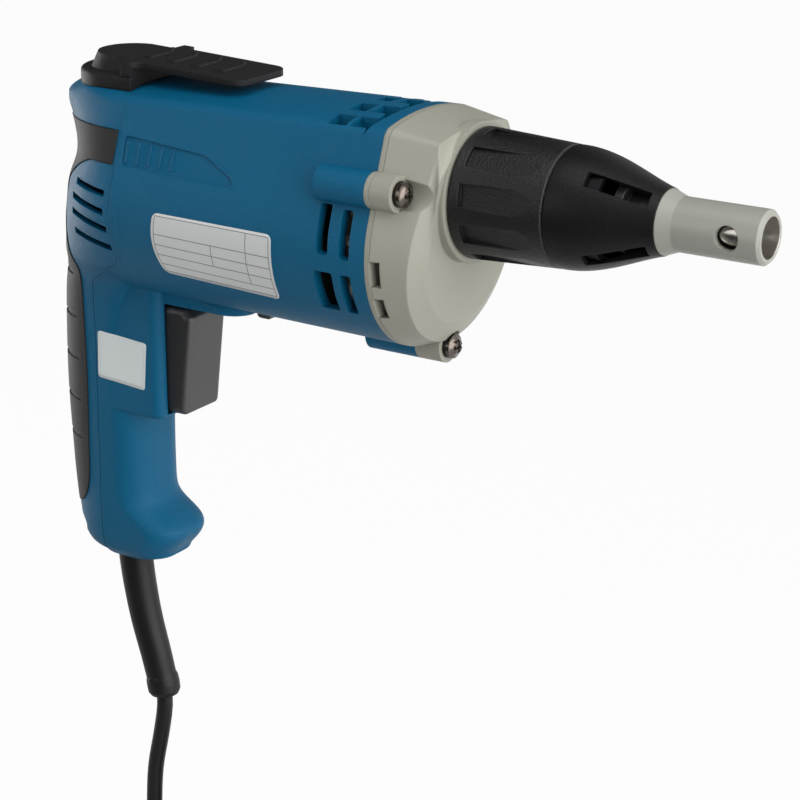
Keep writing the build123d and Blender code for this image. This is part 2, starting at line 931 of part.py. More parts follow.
def grip_prism(grow):
    """Side outline of the rubber grip, as a prism across the tool."""
    edge = [(x + grow, z - grow) for x, z in grip_edge]
    with BuildPart() as prism:
        with BuildSketch(Plane.XZ):
            with BuildLine():
                Spline(*edge)
                Polyline(
                    edge[-1],
                    (-far_side, edge[-1][1]),
                    (-far_side, grip_top + grow),
                    (grip_front_x + grow, grip_top + grow),
                    (grip_front_x + grow, edge[0][1]),
                    edge[0],
                )
            make_face()
        extrude(amount=far_side, both=True)
    return prism.part


# Screw bosses of the cover, and its holes: screw seats, side vents and the way out for the guard
with BuildPart() as cover_bosses:
    for side in (-1, 1):
        rod(-far_side / 2, seam_x, cover_boss_radius, side * cover_screw_side, cover_screw_height)
        rod(-far_side / 2, foot_seam_x, foot_boss_radius, side * foot_screw_side, foot_screw_height)
    post(hook_base_x, 0, hook_boss_bottom, crown_rear - handle_wall, hook_boss_radius)
    add(outer_form, mode=Mode.INTERSECT)
    add(seam_region(-seam_gap, -far_side), mode=Mode.INTERSECT)

with BuildPart() as cover_holes:
    for side in (-1, 1):
        rod(-far_side, cover_screw_seat, cover_head_radius + seat_gap,
            side * cover_screw_side, cover_screw_height)
        rod(-far_side, seam_x, cover_screw_radius + seat_gap,
            side * cover_screw_side, cover_screw_height)
        rod(-far_side, foot_screw_seat, cover_head_radius + seat_gap,
            side * foot_screw_side, foot_screw_height)
        rod(-far_side, foot_seam_x, cover_screw_radius + seat_gap,
            side * foot_screw_side, foot_screw_height)
    post(hook_base_x, 0, hook_boss_bottom - 1, far_above, hook_screw_radius + seat_gap)
    with BuildSketch(Plane.XZ):
        for (rear_x, rear_z), (front_x, front_z) in rear_vents:
            with BuildLine():
                Polyline(
                    (rear_x, rear_z - rear_vent_half),
                    (front_x, front_z - rear_vent_half),
                    (front_x, front_z + rear_vent_half),
                    (rear_x, rear_z + rear_vent_half),
                    close=True,
                )
            make_face()
    extrude(amount=far_side, both=True)
    post(guard_x, 0, far_below, foot_screw_height - foot_boss_radius - 2, guard_radius + slide_gap)

with BuildPart() as rear_cover:
    add(outer_form)
    add(seam_region(-seam_gap, -far_side), mode=Mode.INTERSECT)
    add(inner_form, mode=Mode.SUBTRACT)
    add(cover_bosses.part)
    add([grip_prism(seat_gap) - grip_form(grip_thickness + seat_gap), cover_holes.part], mode=Mode.SUBTRACT)

# Rubber over the back of the cover, with shallow notches for the palm

def palm_notches():
    """Level bands round the back of the grip, down to the floor of the notches."""
    with BuildPart() as bands:
        for height in grip_notches:
            block((-far_side, grip_notch_x), (-far_side, far_side),
                  (height - grip_notch_width / 2, height + grip_notch_width / 2))
        add(grip_form(grip_notch_depth), mode=Mode.SUBTRACT)
    return bands.part


with BuildPart() as rear_grip:
    add(grip_form(-grip_proud))
    add(grip_form(grip_thickness), mode=Mode.SUBTRACT)
    add(grip_prism(0.0), mode=Mode.INTERSECT)
    add(palm_notches(), mode=Mode.SUBTRACT)

# Belt hook on top of the cover, screwed on from inside it

def hook_plan(z, radius):
    """Round-backed plan of the hook's foot, cut straight across at its front."""
    with BuildSketch(Plane.XY.offset(z)) as plan:
        with Locations((hook_base_x, 0)):
            Circle(radius)
        with Locations(((hook_base_x + hook_front_x) / 2, 0)):
            Rectangle(hook_front_x - hook_base_x, 2 * radius)
        with Locations((hook_front_x + far_side, 0)):
            Rectangle(2 * far_side, 2 * far_side, mode=Mode.SUBTRACT)
    return plan.sketch


hook_fall = (hook_root_top - hook_tip_top) / (hook_tip_x - hook_base_x)

# Arm of the hook, and the wall at the front of the foot that it springs from
with BuildPart() as hook_arm:
    with BuildSketch(Plane.XY.offset(hook_tier - 0.1)) as arm_plan:
        with Locations(((hook_wall_x + hook_front_x) / 2, 0)):
            Rectangle(hook_front_x - hook_wall_x, 2 * hook_base_radius)
        with Locations(((hook_wall_x + hook_tip_x) / 2, 0)):
            Rectangle(hook_tip_x - hook_wall_x, 2 * hook_half_width)
        fillet(arm_plan.vertices().group_by(Axis.X)[-1], hook_corner)
        fillet(arm_plan.vertices().group_by(Axis.X)[1].sort_by(Axis.Y)[1:3], hook_neck)
    extrude(amount=far_side / 4)
    with BuildSketch(Plane.XZ) as arm_side:
        with BuildLine():
            Polyline(
                (hook_base_x, hook_root_top),
                (hook_tip_x, hook_tip_top),
                (hook_tip_x, hook_tip_top - hook_thickness),
                (hook_front_x, hook_tip_top + hook_fall * (hook_tip_x - hook_front_x) - hook_thickness),
                (hook_front_x, hook_tier - 0.1),
                (hook_base_x, hook_tier - 0.1),
                close=True,
            )
        make_face()
    extrude(arm_side.sketch, amount=far_side, both=True, mode=Mode.INTERSECT)

with BuildPart() as belt_hook:
    extrude(hook_plan(crown_rear - 10, hook_base_radius), amount=hook_tier - crown_rear + 10)
    fillet(belt_hook.faces().sort_by(Axis.Z)[-1].edges().filter_by(GeomType.CIRCLE), hook_tier_rounding)
    hook_cap = hook_plan(hook_tier - 0.1, hook_cap_radius)
    extrude(hook_cap, amount=hook_root_top - hook_tier + 0.1, taper=hook_cap_lean)
    with BuildSketch(Plane.XZ) as above_arm:
        with BuildLine():
            Polyline(
                (hook_base_x, hook_root_top),
                (hook_tip_x, hook_tip_top),
                (hook_tip_x, far_above),
                (hook_base_x, far_above),
                close=True,
            )
        make_face()
    extrude(above_arm.sketch, amount=far_side, both=True, mode=Mode.SUBTRACT)
    add(hook_arm.part)
    for number in range(hook_ridges):
        ridge_x = hook_ridge_x + number * hook_ridge_pitch
        ridge_top = hook_root_top - hook_fall * (ridge_x - hook_base_x) + hook_ridge_height
        with BuildSketch(Plane.XY.offset(ridge_top)) as ridge:
            for start, end in zip(hook_ridge_line, hook_ridge_line[1:]):
                run = Vector(end[0] - start[0], end[1] - start[1])
                with Locations((ridge_x + (start[0] + end[0]) / 2, (start[1] + end[1]) / 2)):
                    run_angle = degrees(atan2(run.Y, run.X))
                    Rectangle(run.length + hook_ridge_width, hook_ridge_width, rotation=run_angle)
        extrude(ridge.sketch, amount=-2 * hook_ridge_height)
    add(grip_form(-seat_gap, shoulder_radius), mode=Mode.SUBTRACT)
    post(hook_base_x, 0, crown_rear - 10, hook_screw_end + 0.5, hook_screw_radius + running_gap,
         Mode.SUBTRACT)

with BuildPart() as hook_screw:
    post(hook_base_x, 0, hook_boss_bottom - hook_head_height, hook_boss_bottom - running_gap,
         hook_head_radius)
    post(hook_base_x, 0, hook_boss_bottom - running_gap, hook_screw_end, hook_screw_radius)

# Trigger with its stem, the switch behind it and the spring between them
with BuildPart() as trigger:
    with BuildSketch(Plane.XZ):
        with BuildLine():
            FilletPolyline(*trigger_profile, radius=trigger_rounding, close=True)
        make_face()
    extrude(amount=trigger_half_width, both=True)
    front_edges = trigger.edges().filter_by(
        lambda edge: edge.center().X > trigger_back_x + 9.5
        and abs(edge.center().Y) > trigger_half_width - 0.1)
    fillet(front_edges, trigger_edge)
    rod(stem_end_x, trigger_back_x + 1, stem_radius, 0, stem_height)

with BuildPart() as switch_body:
    block((switch_rear_x, switch_front_x), (-switch_half_width, switch_half_width),
          (switch_bottom, switch_top))
    fillet(switch_body.edges(), 1.0)
    rod(stem_end_x - trigger_travel - 2, switch_front_x + 1, stem_radius + slide_gap, 0, stem_height,
        Mode.SUBTRACT)

with BuildPart() as trigger_spring:
    add(spring(
        Vector(switch_front_x + trigger_spring_wire / 2 + seat_gap, 0, stem_height), Vector(1, 0, 0),
        trigger_spring_radius, trigger_back_x - switch_front_x - trigger_spring_wire - 2 * seat_gap,
        3, trigger_spring_wire,
    ))

with BuildPart() as lock_button:
    with BuildSketch(Plane.XZ.offset(-button_inner_y)):
        with Locations((button_x, button_height)):
            Circle(button_radius)
    extrude(amount=button_inner_y - button_outer_y)
    fillet(lock_button.faces().sort_by(Axis.Y)[-1].edges(), 1.0)

# Reversing lever on its pin, with a tab through the slot in the pad
with BuildPart() as reversing_lever:
    block((lever_tip_x - lever_width / 2, lever_tip_x + lever_width / 2), (-lever_width / 2, lever_width / 2),
          (lever_tab_end, lever_bottom + lever_thickness))
    fillet(reversing_lever.faces().sort_by(Axis.Z)[0].edges(), lever_tab_rounding)
    block((lever_pivot_x, lever_tip_x), (-lever_width / 2, lever_width / 2),
          (lever_bottom, lever_bottom + lever_thickness))
    post(lever_pivot_x, 0, lever_bottom, lever_bottom + lever_thickness, lever_eye)
    post(lever_pivot_x, 0, lever_bottom - 1, lever_bottom + lever_thickness + 1,
         lever_pin_radius + running_gap, Mode.SUBTRACT)

with BuildPart() as capacitor:
    block((capacitor_rear_x, capacitor_rear_x + capacitor_length), (-capacitor_half, capacitor_half),
          (switch_bottom - slide_gap - capacitor_height, switch_bottom - slide_gap))
    fillet(capacitor.edges(), 1.5)

# Bearing plate between the barrel and the gear housing

def flange_outline(x, length):
    """The barrel's front outline with the three screw lugs."""
    extrude(barrel_section(x, flange_x), amount=length)
    for lug_y, lug_z in lug_points:
        rod(x, x + length, lug_radius, lug_y, lug_z)


with BuildPart() as bearing_plate:
    flange_outline(plate_x + seat_gap / 2, plate_thickness - seat_gap)
    rod(front_bearing_x - 0.7, case_x - seat_gap / 2, front_bearing_radius + boss_wall, 0, motor_height)
    rod(tail_bush_x - 1, case_x - seat_gap / 2, tail_radius + tail_bush_wall + boss_wall, 0, spindle_height)
    rod(front_bearing_x - 1, front_bearing_x + front_bearing_width + seat_gap,
        front_bearing_radius + running_gap, 0, motor_height, Mode.SUBTRACT)
    rod(front_bearing_x, case_x + 1, shaft_radius + 1.5, 0, motor_height, Mode.SUBTRACT)
    rod(tail_bush_x, case_x + 1, tail_radius + tail_bush_wall + running_gap, 0, spindle_height, Mode.SUBTRACT)
    for lug_y, lug_z in lug_points:
        rod(plate_x - 1, case_x + 1, screw_radius + slide_gap, lug_y, lug_z, Mode.SUBTRACT)

# Gear housing with the screw lugs, the collar and the snout that carries the locator

def leaning(section, x):
    """Section of the casting at x, leant forward above the motor's axis and back below it."""
    return section.rotate(Axis((x, 0, motor_height), (0, 1, 0)), case_lean)


with BuildPart() as gear_housing:
    case_edge = leaning(barrel_section(case_wall_x, flange_x, case_draft), case_wall_x)
    case_face = outline(
        case_front_x, case_belly, case_crown, case_crown_radius, shoulder_radius, case_flat_lean)
    loft([barrel_section(case_x, flange_x), case_edge])
    loft([case_edge, leaning(case_face, case_front_x)])
    block((collar_x, far_front), (-far_side, far_side), (0, far_above), Mode.SUBTRACT)
    for lug_y, lug_z in lug_points:
        rod(lug_front_x, collar_x + 1, channel_radius, lug_y, lug_z, Mode.SUBTRACT)
        rod(case_x, lug_front_x, lug_radius, lug_y, lug_z)
    rod(case_front_x - 1, collar_x, collar_radius, 0, spindle_height)
    rod(case_front_x - 1, snout_end_x, snout_radius, 0, spindle_height)
    fillet(gear_housing.faces().sort_by(Axis.X)[-1].edges(), 1.0)
    extrude(barrel_section(case_x, flange_x, case_wall), amount=case_room_length, mode=Mode.SUBTRACT)
    rod(case_x, cavity_x, gear_room, 0, spindle_height, Mode.SUBTRACT)
    rod(case_x, cavity_x, pinion_room, 0, motor_height, Mode.SUBTRACT)
    rod(cavity_x - 1, bush_x, journal_radius + 2 * slide_gap, 0, spindle_height, Mode.SUBTRACT)
    rod(bush_x, snout_end_x + 1, journal_radius + bush_wall + running_gap, 0, spindle_height, Mode.SUBTRACT)
    for lug_y, lug_z in lug_points:
        rod(case_x - 1, lug_front_x + 1, screw_radius + slide_gap, lug_y, lug_z, Mode.SUBTRACT)
    for notch_z, notch_height, notch_side in case_notches:
        for side in (-1, 1):
            block(
                (case_x - 1, case_x + case_notch_length),
                sorted((side * notch_side, side * far_side)),
                (notch_z - notch_height / 2, notch_z + notch_height / 2),
                Mode.SUBTRACT,
            )

# Three pan head screws with a cross recess, on spring washers
with BuildPart() as housing_screws:
    for lug_y, lug_z in lug_points:
        with BuildSketch(Plane.XZ.offset(-lug_y)) as screw_profile:
            with BuildLine():
                Line((screw_end_x, lug_z), (head_x + screw_head_height, lug_z))
                Line((head_x + screw_head_height, lug_z),
                     (head_x + screw_head_height, lug_z + screw_head_radius * 0.5))
                RadiusArc(
                    (head_x + screw_head_height, lug_z + screw_head_radius * 0.5),
                    (head_x + screw_head_height * 0.45, lug_z + screw_head_radius),
                    screw_head_radius * 0.7,
                )
                Polyline(
                    (head_x + screw_head_height * 0.45, lug_z + screw_head_radius),
                    (head_x, lug_z + screw_head_radius),
                    (head_x, lug_z + screw_radius),
                    (screw_end_x, lug_z + screw_radius),
                    (screw_end_x, lug_z),
                )
            make_face()
        revolve(axis=Axis((0, lug_y, lug_z), (1, 0, 0)))
        for width, height in ((cross_width, cross_length), (cross_length, cross_width)):
            block(
                (head_x + screw_head_height - cross_depth, head_x + screw_head_height + 1),
                (lug_y - width / 2, lug_y + width / 2),
                (lug_z - height / 2, lug_z + height / 2),
                Mode.SUBTRACT,
            )

with BuildPart() as screw_washers:
    for lug_y, lug_z in lug_points:
        rod(lug_front_x + seat_gap / 2, head_x - seat_gap / 2, screw_head_radius + seat_gap, lug_y, lug_z)
        rod(lug_front_x, head_x, screw_radius + slide_gap, lug_y, lug_z, Mode.SUBTRACT)

with BuildPart() as cover_screws:
    for side in (-1, 1):
        for seat, end, place_y, place_z in (
            (cover_screw_seat, seam_x + cover_boss - 2, cover_screw_side, cover_screw_height),
            (foot_screw_seat, foot_seam_x + cover_boss - 2, foot_screw_side, foot_screw_height),
        ):
            rod(seat - cover_head_height, seat - running_gap, cover_head_radius, side * place_y, place_z)
            rod(seat - running_gap, end, cover_screw_radius, side * place_y, place_z)

# Armature: shaft with cut pinion, laminated core, winding, commutator and fan
with BuildPart() as armature_shaft:
    rod(shaft_rear_x, rear_bearing_x + rear_bearing_width + 1, rear_journal_radius, 0, motor_height)
    rod(rear_bearing_x + rear_bearing_width + 1, pinion_x, shaft_radius, 0, motor_height)
    toothed_wheel(pinion_x, pinion_length, pinion_teeth, motor_height, 90)

with BuildPart() as armature_core:
    with BuildSketch(Plane.YZ.offset(core_x)):
        with Locations((0, motor_height)):
            Circle(core_radius)
            Circle(shaft_radius + running_gap, mode=Mode.SUBTRACT)
            with PolarLocations((core_radius + slot_floor) / 2, core_slots):
                Rectangle(core_radius - slot_floor + 1, slot_width, mode=Mode.SUBTRACT)
    extrude(amount=core_length)

with BuildPart() as armature_winding:
    with BuildSketch(Plane.YZ.offset(core_x - winding_length)):
        with Locations((0, motor_height)):
            with PolarLocations((winding_radius + slot_floor + slide_gap) / 2, core_slots):
                Rectangle(winding_radius - slot_floor - slide_gap, slot_width - 2 * slide_gap)
    extrude(amount=core_length + 2 * winding_length)
    for wind_x in (core_x - winding_length, core_x + core_length + seat_gap):
        turn([
            (wind_x, shaft_radius + 2), (wind_x, winding_radius - 2), (wind_x + 2, winding_radius),
            (wind_x + winding_length - 2, winding_radius),
            (wind_x + winding_length - seat_gap, winding_radius - 2),
            (wind_x + winding_length - seat_gap, shaft_radius + 2),
        ], motor_axis)

with BuildPart() as commutator:
    with BuildSketch(Plane.YZ.offset(commutator_x)):
        with Locations((0, motor_height)):
            Circle(commutator_radius)
            Circle(shaft_radius + running_gap, mode=Mode.SUBTRACT)
            with PolarLocations(commutator_radius, 2 * core_slots):
                Rectangle(2, commutator_slit, mode=Mode.SUBTRACT)
    extrude(amount=commutator_length)

with BuildPart() as cooling_fan:
    rod(fan_x - 3, fan_x + 7, shaft_radius + 3, 0, motor_height)
    rod(fan_x, fan_x + 2, fan_radius, 0, motor_height)
    with BuildSketch(Plane.YZ.offset(fan_x + 1)):
        with Locations((0, motor_height)):
            with PolarLocations((fan_radius + fan_inner_radius) / 2, fan_blades):
                Rectangle(fan_radius - fan_inner_radius, fan_blade_thickness, rotation=fan_blade_sweep)
    extrude(amount=fan_width)
    turn([
        (fan_x - 1, fan_radius + slide_gap), (fan_x - 1, fan_radius + 4),
        (fan_x + fan_width + 3, fan_radius + 4), (fan_x + fan_width + 3, fan_radius + slide_gap),
    ], motor_axis, Mode.SUBTRACT)
    rod(fan_x - 4, fan_x + 8, shaft_radius + running_gap, 0, motor_height, Mode.SUBTRACT)


def ball_bearing(x, width, inner, outer):
    """Shielded ball bearing: two rings with a shallow shield between them."""
    middle = (inner + outer) / 2
    shield = (outer - inner) * 0.22
    turn([
        (x, inner), (x, middle - shield), (x + 0.5, middle - shield), (x + 0.5, middle + shield),
        (x, middle + shield), (x, outer), (x + width, outer), (x + width, middle + shield),
        (x + width - 0.5, middle + shield), (x + width - 0.5, middle - shield),
        (x + width, middle - shield), (x + width, inner),
    ], motor_axis)


with BuildPart() as front_bearing:
    ball_bearing(front_bearing_x, front_bearing_width, shaft_radius + running_gap, front_bearing_radius)

with BuildPart() as rear_bearing:
    ball_bearing(rear_bearing_x, rear_bearing_width, rear_journal_radius + running_gap, rear_bearing_radius)

with BuildPart() as bearing_boot:
    rod(seat_x + seat_gap, rear_bearing_x + rear_bearing_width, rear_bearing_radius + boot_wall,
        0, motor_height)
    rod(seat_x, rear_bearing_x + rear_bearing_width + 1, rear_bearing_radius + running_gap, 0, motor_height,
        Mode.SUBTRACT)

# Stator: laminated core with two poles, coils round the poles and two long screws
with BuildPart() as stator_core:
    rod(core_x, core_x + core_length, stator_radius, 0, motor_height)
    rod(core_x - 1, core_x + core_length + 1, yoke_inner, 0, motor_height, Mode.SUBTRACT)
    for pole in (90, 270):
        shoe = ring_sector(core_x, stator_bore, shoe_outer, motor_height, pole, shoe_half)
        extrude(shoe, amount=core_length)
        pole_end = (shoe_outer - 1, yoke_inner + 1)
        block(
            (core_x, core_x + core_length),
            (-pole_half_width, pole_half_width),
            sorted(motor_height + sin(radians(pole)) * reach for reach in pole_end),
        )
    for side in (-1, 1):
        rod(core_x - 1, core_x + core_length + 1, stator_screw_radius + seat_gap,
            side * stator_screw_side, motor_height, Mode.SUBTRACT)

with BuildPart() as stator_coils:
    for pole in (90, 270):
        extrude(
            ring_sector(core_x - coil_overhang, shoe_outer + slide_gap, yoke_inner - slide_gap,
                        motor_height, pole, shoe_half + 3),
            amount=core_length + 2 * coil_overhang,
        )
    block(
        (core_x - slide_gap, core_x + core_length + slide_gap),
        (-pole_half_width - slide_gap, pole_half_width + slide_gap),
        (motor_height - far_side, motor_height + far_side),
        Mode.SUBTRACT,
    )

with BuildPart() as stator_screws:
    for side in (-1, 1):
        rod(core_x - stator_boss + 1, core_x + core_length + seat_gap, stator_screw_radius,
            side * stator_screw_side, motor_height)
        rod(core_x + core_length + seat_gap, core_x + core_length + 2.5, stator_screw_radius + 0.7,
            side * stator_screw_side, motor_height)

with BuildPart() as fan_baffle:
    rod(baffle_x, baffle_x + 3, stator_radius, 0, motor_height)
    rod(baffle_x - 1, baffle_x + 4, stator_radius - 8, 0, motor_height, Mode.SUBTRACT)

# Brushes in their holders, pushed onto the commutator by springs
brush_x = commutator_x + commutator_length / 2

with BuildPart() as brush_holders:
    for side in (-1, 1):
        block(
            (brush_x - brush_width / 2 - 1.2, brush_x + brush_width / 2 + 1.2),
            sorted((side * holder_inner, side * holder_outer)),
            (motor_height - brush_height / 2 - 1.2, motor_height + brush_height / 2 + 1.2),
        )
        block(
            (brush_x - brush_width / 2 - seat_gap, brush_x + brush_width / 2 + seat_gap),
            sorted((side * (holder_inner - 1), side * (holder_outer - 1))),
            (motor_height - brush_height / 2 - seat_gap, motor_height + brush_height / 2 + seat_gap),
            Mode.SUBTRACT,
        )

with BuildPart() as carbon_brushes:
    for side in (-1, 1):
        block(
            (brush_x - brush_width / 2, brush_x + brush_width / 2),
            sorted((side * (commutator_radius - 1), side * brush_end)),
            (motor_height - brush_height / 2, motor_height + brush_height / 2),
        )
    rod(commutator_x - 1, commutator_x + commutator_length + 1, commutator_radius + running_gap, 0,
        motor_height, Mode.SUBTRACT)

with BuildPart() as brush_springs:
    for side in (-1, 1):
        add(spring(
            Vector(brush_x, side * (brush_end + brush_spring_wire), motor_height), Vector(0, side, 0),
            brush_height / 2 - 1, holder_outer - 1 - brush_end - 2 * brush_spring_wire, 3, brush_spring_wire,
        ))

# Spindle train: driven gear with dogs, spring, spindle with its own dogs, bushes and washer
with BuildPart() as drive_gear:
    toothed_wheel(gear_x, gear_width, gear_teeth, spindle_height, 270 + 180 / gear_teeth)
    for number in range(dogs):
        extrude(
            ring_sector(gear_x + gear_width - 1, dog_inner, dog_outer, spindle_height,
                        90 + number * 360 / dogs,
                        dog_half),
            amount=dog_height + 1,
        )
    rod(gear_x - 1, gear_x + gear_width + dog_height + 1, spindle_radius + running_gap, 0, spindle_height,
        Mode.SUBTRACT)

with BuildPart() as clutch_spring:
    add(spring(
        Vector(gear_x + gear_width + clutch_wire / 2 + seat_gap, 0, spindle_height), Vector(1, 0, 0),
        clutch_spring_radius, flange_rear_x - gear_x - gear_width - clutch_wire - 2 * seat_gap,
        2, clutch_wire,
    ))

with BuildPart() as spindle:
    turn([
        (spindle_tail_x, 0), (spindle_tail_x, tail_radius), (spindle_shoulder_x, tail_radius),
        (spindle_shoulder_x, spindle_radius), (flange_rear_x, spindle_radius), (flange_rear_x, flange_radius),
        (flange_rear_x + flange_thickness, flange_radius), (flange_rear_x + flange_thickness, journal_radius),
        (head_rear_x, journal_radius), (head_rear_x, head_radius), (head_rear_x + head_length, head_radius),
        (head_rear_x + head_length, 0),
    ], spindle_axis)
    for number in range(dogs):
        extrude(
            ring_sector(flange_rear_x - dog_height, dog_inner, dog_outer, spindle_height,
                        90 + (number + 0.5) * 360 / dogs, dog_half),
            amount=dog_height + 1,
        )
    with BuildSketch(Plane.YZ.offset(head_rear_x + 3)):
        with Locations((0, spindle_height)):
            RegularPolygon(hex_across / 2 + running_gap, 6, major_radius=False)
    extrude(amount=head_length, mode=Mode.SUBTRACT)
    rod(holder_x, head_rear_x + head_length + 1, holder_radius + seat_gap, 0, spindle_height, Mode.SUBTRACT)

with BuildPart() as spindle_bush:
    rod(bush_x + seat_gap, snout_end_x, journal_radius + bush_wall, 0, spindle_height)
    rod(bush_x, snout_end_x + 1, journal_radius + running_gap, 0, spindle_height, Mode.SUBTRACT)

with BuildPart() as tail_bush:
    rod(tail_bush_x + seat_gap, case_x - seat_gap, tail_radius + tail_bush_wall, 0, spindle_height)
    rod(tail_bush_x, case_x, tail_radius + running_gap, 0, spindle_height, Mode.SUBTRACT)

with BuildPart() as thrust_washer:
    rod(washer_x, washer_x + thrust_thickness, journal_radius + bush_wall, 0, spindle_height)
    rod(washer_x - 1, washer_x + thrust_thickness + 1, journal_radius + running_gap, 0, spindle_height,
        Mode.SUBTRACT)

with BuildPart() as bit_holder:
    with BuildSketch(Plane.YZ.offset(head_rear_x + 3.5)):
        with Locations((0, spindle_height)):
            RegularPolygon(hex_across / 2, 6, major_radius=False)
    extrude(amount=holder_x - head_rear_x)
    rod(holder_x + seat_gap, holder_end_x, holder_radius, 0, spindle_height)
    fillet(bit_holder.faces().sort_by(Axis.X)[-1].edges(), 0.8)
    with BuildSketch(Plane.YZ.offset(holder_end_x - socket_depth)):
        with Locations((0, spindle_height)):
            RegularPolygon(hex_across / 2 + running_gap, 6, major_radius=False)
    extrude(amount=socket_depth + 1, mode=Mode.SUBTRACT)

# Depth locator: ring to turn, inner carrier, sleeve with windows and the nose
with BuildPart() as depth_ring:
    turn([
        (ring_x, snout_radius + slide_gap), (ring_x, ring_rear_radius - 0.8),
        (ring_x + 0.8, ring_rear_radius),
        (ring_x + ring_length - 0.8, ring_front_radius), (ring_x + ring_length, ring_front_radius - 0.8),
        (ring_x + ring_length, carrier_outer + slide_gap), (carrier_x - slide_gap, carrier_outer + slide_gap),
        (carrier_x - slide_gap, snout_radius + slide_gap),
    ], spindle_axis)
    rear_depth = ring_rear_radius - ring_recess_depth
    tilt = atan2(ring_recess_rise, ring_recess_length)
    for number in range(ring_recesses):
        facing = radians(ring_phase + number * 360 / ring_recesses)
        with BuildSketch(Plane(
            origin=(ring_x + ring_recess_start, rear_depth * cos(facing),
                    spindle_height + rear_depth * sin(facing)),
            x_dir=(cos(tilt), sin(tilt) * cos(facing), sin(tilt) * sin(facing)),
            z_dir=(-sin(tilt), cos(tilt) * cos(facing), cos(tilt) * sin(facing)),
        )):
            with BuildLine():
                Polyline(
                    (0, ring_recess_width / 2), (0, -ring_recess_width / 2),
                    (ring_recess_length, -ring_recess_width / 2 - ring_recess_flare),
                    (ring_recess_length, ring_recess_width / 2 + ring_recess_flare),
                    close=True,
                )
            make_face()
        extrude(amount=far_side / 4, mode=Mode.SUBTRACT)

with BuildPart() as locator_carrier:
    rod(carrier_x, carrier_end_x, carrier_outer, 0, spindle_height)
    rod(carrier_x - 1, carrier_end_x + 1, carrier_outer - carrier_wall, 0, spindle_height, Mode.SUBTRACT)

with BuildPart() as locator_sleeve:
    with BuildSketch(Plane.XZ):
        with BuildLine():
            Spline(*[(sleeve_x + step, spindle_height + radius) for step, radius in sleeve_outer])
            Polyline(*[(sleeve_x + step, spindle_height + radius) for step, radius in (
                sleeve_outer[-1], (sleeve_length, nose_neck + seat_gap),
                (sleeve_length - sleeve_neck, nose_neck + seat_gap),
            )])
            Spline(*[(sleeve_x + step, spindle_height + radius) for step, radius in sleeve_inner])
            Polyline(*[(sleeve_x + step, spindle_height + radius) for step, radius in (
                sleeve_inner[-1], (0, carrier_outer + slide_gap), sleeve_outer[0],
            )])
        make_face()
    revolve(axis=spindle_axis)
    for number in range(windows):
        facing = radians(window_phase + number * 360 / windows)
        with BuildSketch(Plane(
            origin=(sleeve_x + window_start, 0, spindle_height),
            x_dir=(1, 0, 0),
            z_dir=(0, cos(facing), sin(facing)),
        )):
            with Locations((window_length / 2, 0)):
                RectangleRounded(window_length, window_width, window_corner)
        extrude(amount=far_side / 2, mode=Mode.SUBTRACT)

with BuildPart() as locator_nose:
    turn([
        (nose_flange_x, nose_bore), (nose_flange_x, nose_flange_radius),
        (nose_flange_x + 3, nose_flange_radius), (nose_flange_x + 3, nose_neck),
        (nose_joint_x + seat_gap, nose_neck), (nose_joint_x + seat_gap, nose_shoulder),
        (nose_joint_x + 5, nose_radius), (nose_end_x - 1, nose_radius), (nose_end_x, nose_radius - 1),
        (nose_end_x, nose_mouth), (nose_end_x - nose_mouth_depth, nose_mouth),
        (nose_end_x - nose_mouth_depth, nose_bore),
    ], spindle_axis)
    with BuildSketch(Plane.XZ):
        with Locations((nose_end_x - nose_hole_back, spindle_height)):
            Circle(nose_hole_radius)
    extrude(amount=far_side, both=True, mode=Mode.SUBTRACT)

# Mains lead: guard, free lead, clamp in the handle, put-away coil with its tie, and plug
runs = [
    sqrt((end[0] - start[0])**2 + (end[1] - start[1])**2)
    for start, end in zip(lead_points, lead_points[1:])
]
lead_radii = []
for number in range(1, len(lead_points) - 1):
    before = Vector(*[b - a for a, b in zip(lead_points[number - 1], lead_points[number])])
    after = Vector(*[b - a for a, b in zip(lead_points[number], lead_points[number + 1])])
    half_turn = radians(before.get_angle(after)) / 2
    lead_radii.append(0.45 * min(runs[number - 1], runs[number]) / tan(half_turn))
print("lead radii", [round(radius, 1) for radius in lead_radii])

with BuildLine(Plane.XZ) as lead_line:
    FilletPolyline(*lead_points, radius=lead_radii)
lead_wire = Wire(lead_line.edges())

with BuildPart() as cord_lead:
    with BuildSketch(Plane(origin=lead_wire @ 0, z_dir=lead_wire % 0)):
        Circle(cord_diameter / 2)
    sweep(path=lead_wire)
print("lead length", round(lead_wire.length, 1), "volume against section by length",
      round(cord_lead.part.volume / (pi * cord_diameter**2 / 4 * lead_wire.length), 4))

def guard_circle(distance, radius):
    """Round section of the guard, square to the lead at a distance along it."""
    place = distance / lead_wire.length
    with BuildSketch(Plane(origin=lead_wire @ place, z_dir=lead_wire % place)) as circle:
        Circle(radius)
    return circle.sketch


with BuildPart() as cord_guard:
    loft([
        guard_circle(guard_start + guard_body * step / 8,
                     guard_radius + (guard_tip_radius - guard_radius) * step / 8)
        for step in range(9)
    ])
    loft([guard_circle(guard_start + guard_body + step, radius) for step, radius in guard_bead], ruled=True)
    post(guard_x, 0, guard_flange_bottom, guard_flange_bottom + guard_flange, guard_radius + guard_flange_lip)
    with BuildSketch(Plane(origin=lead_wire @ 0, z_dir=lead_wire % 0)):
        Circle(cord_diameter / 2 + seat_gap)
    sweep(path=lead_wire, mode=Mode.SUBTRACT)

with BuildPart() as cord_clamp:
    block((clamp_x - clamp_thickness, clamp_x), (-clamp_half, clamp_half),
          (clamp_height - clamp_width / 2, clamp_height + clamp_width / 2))
    for side in (-1, 1):
        rod(clamp_x - clamp_thickness - 1, clamp_x + 1, clamp_screw_radius + seat_gap,
            side * clamp_screw_side, clamp_height, Mode.SUBTRACT)

